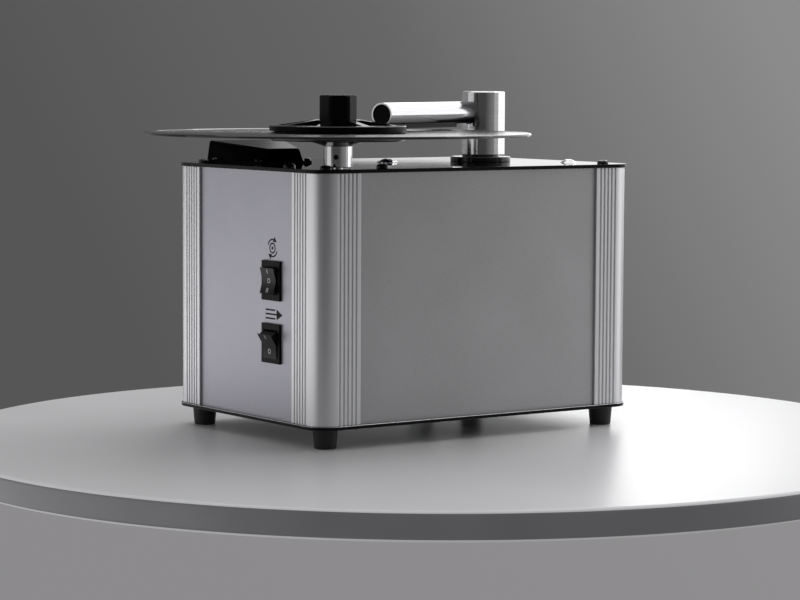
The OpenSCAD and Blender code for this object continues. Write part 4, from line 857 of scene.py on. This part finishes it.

# %% [markdown]
# ## Floor, backdrop and light
# The machine stands on a round pale table top in front of a mid-grey wall. The wall and the room
# are the world's colour, as the camera and shiny surfaces see it: the wall behind gets lighter
# to the right and is lighter below the table, and the room gets darker towards the camera.
# Everything else sees an even light.

# %% Pale round floor, with painted shade on its edge
floor_radius, floor_thickness = 0.40, 0.022
floor_middle = Vector((-0.015, -0.06, -floor_thickness / 2))
floor_shape = bmesh.new()
bmesh.ops.create_cone(
    floor_shape, cap_ends=True, segments=256, radius1=floor_radius, radius2=floor_radius,
    depth=floor_thickness, matrix=Matrix.Translation(floor_middle),
)
rim = [e for e in floor_shape.edges if e.calc_face_angle(0) > 1]
bmesh.ops.bevel(
    floor_shape, geom=rim, offset=0.004, segments=6, profile=0.5, affect="EDGES", material=-1,
)
# The side and the rounded rim take the second material, painted shade for the table edge.
for face in floor_shape.faces:
    face.material_index = int(abs(face.normal.z) < 0.5)
floor_finish = grain("pale_lacquer", ("#DEDEE0", "#E0E0E2"), (0.30, 0.32), 120, 0, detail=2)
# Painted shade: the table's edge is dark grey because it lies in shadow.
floor_rim_painted_shade = grain("table_edge_painted_shade", ("#747477", "#7A7A7D"), (0.35, 0.4), 60, 0, detail=2)
floor = make_piece("floor", floor_shape, floor_finish, smooth=30)
floor.data.materials.append(floor_rim_painted_shade)
print("floor", floor_radius * 2, "m across")

# %% The wall behind and the room around
right_and_up, from_darkest = (0.8155, -0.5788, 0.5), (0.788, 0.616, 0.0)
world = bpy.data.worlds.new("studio")
world.use_nodes = True
bpy.context.scene.world = world
sky = world.node_tree
sky.nodes.clear()
direction = add(sky, "TexCoord").outputs["Generated"]
across = add(sky, "VectorMath", {0: direction, 1: right_and_up}, operation="DOT_PRODUCT").outputs["Value"]
side = add(sky, "MapRange", {"Value": across, "From Min": -0.16, "From Max": 0.16}).outputs["Result"]
wall = add(sky, "ValToRGB", {"Fac": side})
wall.color_ramp.elements.new(0.5)
for stop, place, colour in zip(
    wall.color_ramp.elements, (0.05, 0.5, 0.95), ("#565656", "#666666", "#8C8C8C"),
):
    stop.position, stop.color = place, linear(colour)
around = add(sky, "VectorMath", {0: direction, 1: from_darkest}, operation="DOT_PRODUCT").outputs["Value"]
depth = add(sky, "MapRange", {"Value": around, "From Min": -1.0, "From Max": 1.0}).outputs["Result"]
room = add(sky, "ValToRGB", {"Fac": depth})
for _ in range(2):
    room.color_ramp.elements.new(0.5)
for stop, place, colour in zip(
    room.color_ramp.elements, (0.06, 0.11, 0.265, 0.475), ("#484848", "#5E5E5E", "#7C7C7C", "#8A8A8A"),
):
    stop.position, stop.color = place, linear(colour)
height = add(sky, "SeparateXYZ", {"Vector": direction}).outputs["Z"]
under = add(
    sky, "MapRange", {"Value": height, "From Min": -0.125, "From Max": -0.14, "To Max": 0.85},
).outputs["Result"]
low_wall = add(
    sky, "Mix", {0: under, 6: wall.outputs["Color"], 7: linear("#949294")}, data_type="RGBA",
).outputs[2]
behind = add(sky, "MapRange", {"Value": around, "From Min": 0.75, "From Max": 0.9}).outputs["Result"]
backdrop = add(sky, "Mix", {0: behind, 6: room.outputs["Color"], 7: low_wall}, data_type="RGBA")
print("wall of", len(wall.color_ramp.elements), "greys and room of", len(room.color_ramp.elements))

# %% The eye sees the wall, and surfaces get an even light
rays = add(sky, "LightPath")
seen = add(
    sky, "Math", {0: rays.outputs["Is Camera Ray"], 1: rays.outputs["Is Glossy Ray"]}, operation="MAXIMUM",
)
seen = add(sky, "Math", {0: seen.outputs[0], 1: rays.outputs["Is Transmission Ray"]}, operation="MAXIMUM")
even = add(sky, "Background", {"Color": linear("#FFFFFF"), "Strength": 0.42})
grey = add(sky, "Background", {"Color": backdrop.outputs[2], "Strength": 1.0})
both = add(sky, "MixShader", {"Fac": seen.outputs[0], 1: even.outputs[0], 2: grey.outputs[0]})
add(sky, "OutputWorld", {"Surface": both.outputs[0]})
print("world light ready")

# %% [markdown]
# ## Soft boxes
# Polished metal and gloss black show little but the lamps, so the lamps are large soft boxes.
# Those at the right give the bright sides of tube, posts and deck, and one high at the right
# gives the thin lines of the plates' edges. Those behind lie low, where the deck and the record
# mirror them, and one high behind lights the record's bead. The left end has two, and one is
# overhead.

# %% Making a soft box
def soft_box(name, place, aim, width, height, brightness):
    """A rectangular soft box at place that faces aim. A brightness of 1 looks white."""
    lamp = bpy.data.objects.new(name, bpy.data.lights.new(name, "AREA"))
    bpy.context.scene.collection.objects.link(lamp)
    lamp.data.shape, lamp.data.size, lamp.data.size_y = "RECTANGLE", width, height
    lamp.data.energy = math.pi * width * height * brightness
    lamp.location = place
    lamp.rotation_mode = "QUATERNION"
    lamp.rotation_quaternion = (Vector(place) - Vector(aim)).to_track_quat("Z", "Y")
    lamp.visible_camera = False
    print(name, "uses", round(lamp.data.energy, 1), "W")


def box_at(name, azimuth, distance, low, high, width, brightness):
    """A soft box on a circle round the machine, upright, between two heights."""
    turn = math.radians(azimuth)
    middle = (low + high) / 2
    place = (distance * math.cos(turn), distance * math.sin(turn), middle)
    soft_box(name, place, (0.0, 0.0, middle), width, high - low, brightness)


print("soft boxes can be placed")

# %% All soft boxes: azimuth in degrees, distance, lower and upper edge, width, brightness
box_at("right_window", 4, 1.6, 0.13, 1.6, 2.7, 1.1)
box_at("right_low_window", 335, 1.6, -0.5, 0.13, 0.56, 1.1)
box_at("front_right_window", 318, 1.1, -0.4, 0.35, 0.8, 0.22)
box_at("upper_right", 345, 1.6, 1.6, 2.7, 1.7, 1.3)
box_at("back_panel", 48.4, 3.0, 0.05, 1.25, 0.46, 0.85)
box_at("back_upper", 47.5, 3.0, 0.42, 1.60, 0.79, 1.3)
box_at("back_upper_left", 56.8, 3.0, 0.42, 1.60, 0.19, 0.7)
box_at("back_high", 52, 3.0, 1.65, 3.1, 0.5, 3.0)
box_at("back_glow", 53.9, 3.0, 0.05, 0.317, 0.115, 0.75)
box_at("back_trace", 56.2, 3.0, 0.05, 0.317, 0.126, 0.7)
box_at("left_window", 146, 1.9, -1.0, 0.10, 4.0, 1.0)
box_at("left_strip", 162, 1.9, 0.10, 0.70, 1.3, 0.45)
soft_box("top_panel", (0.25, 0.1, 1.9), (0.25, 0.1, 0.0), 2.4, 2.0, 0.85)
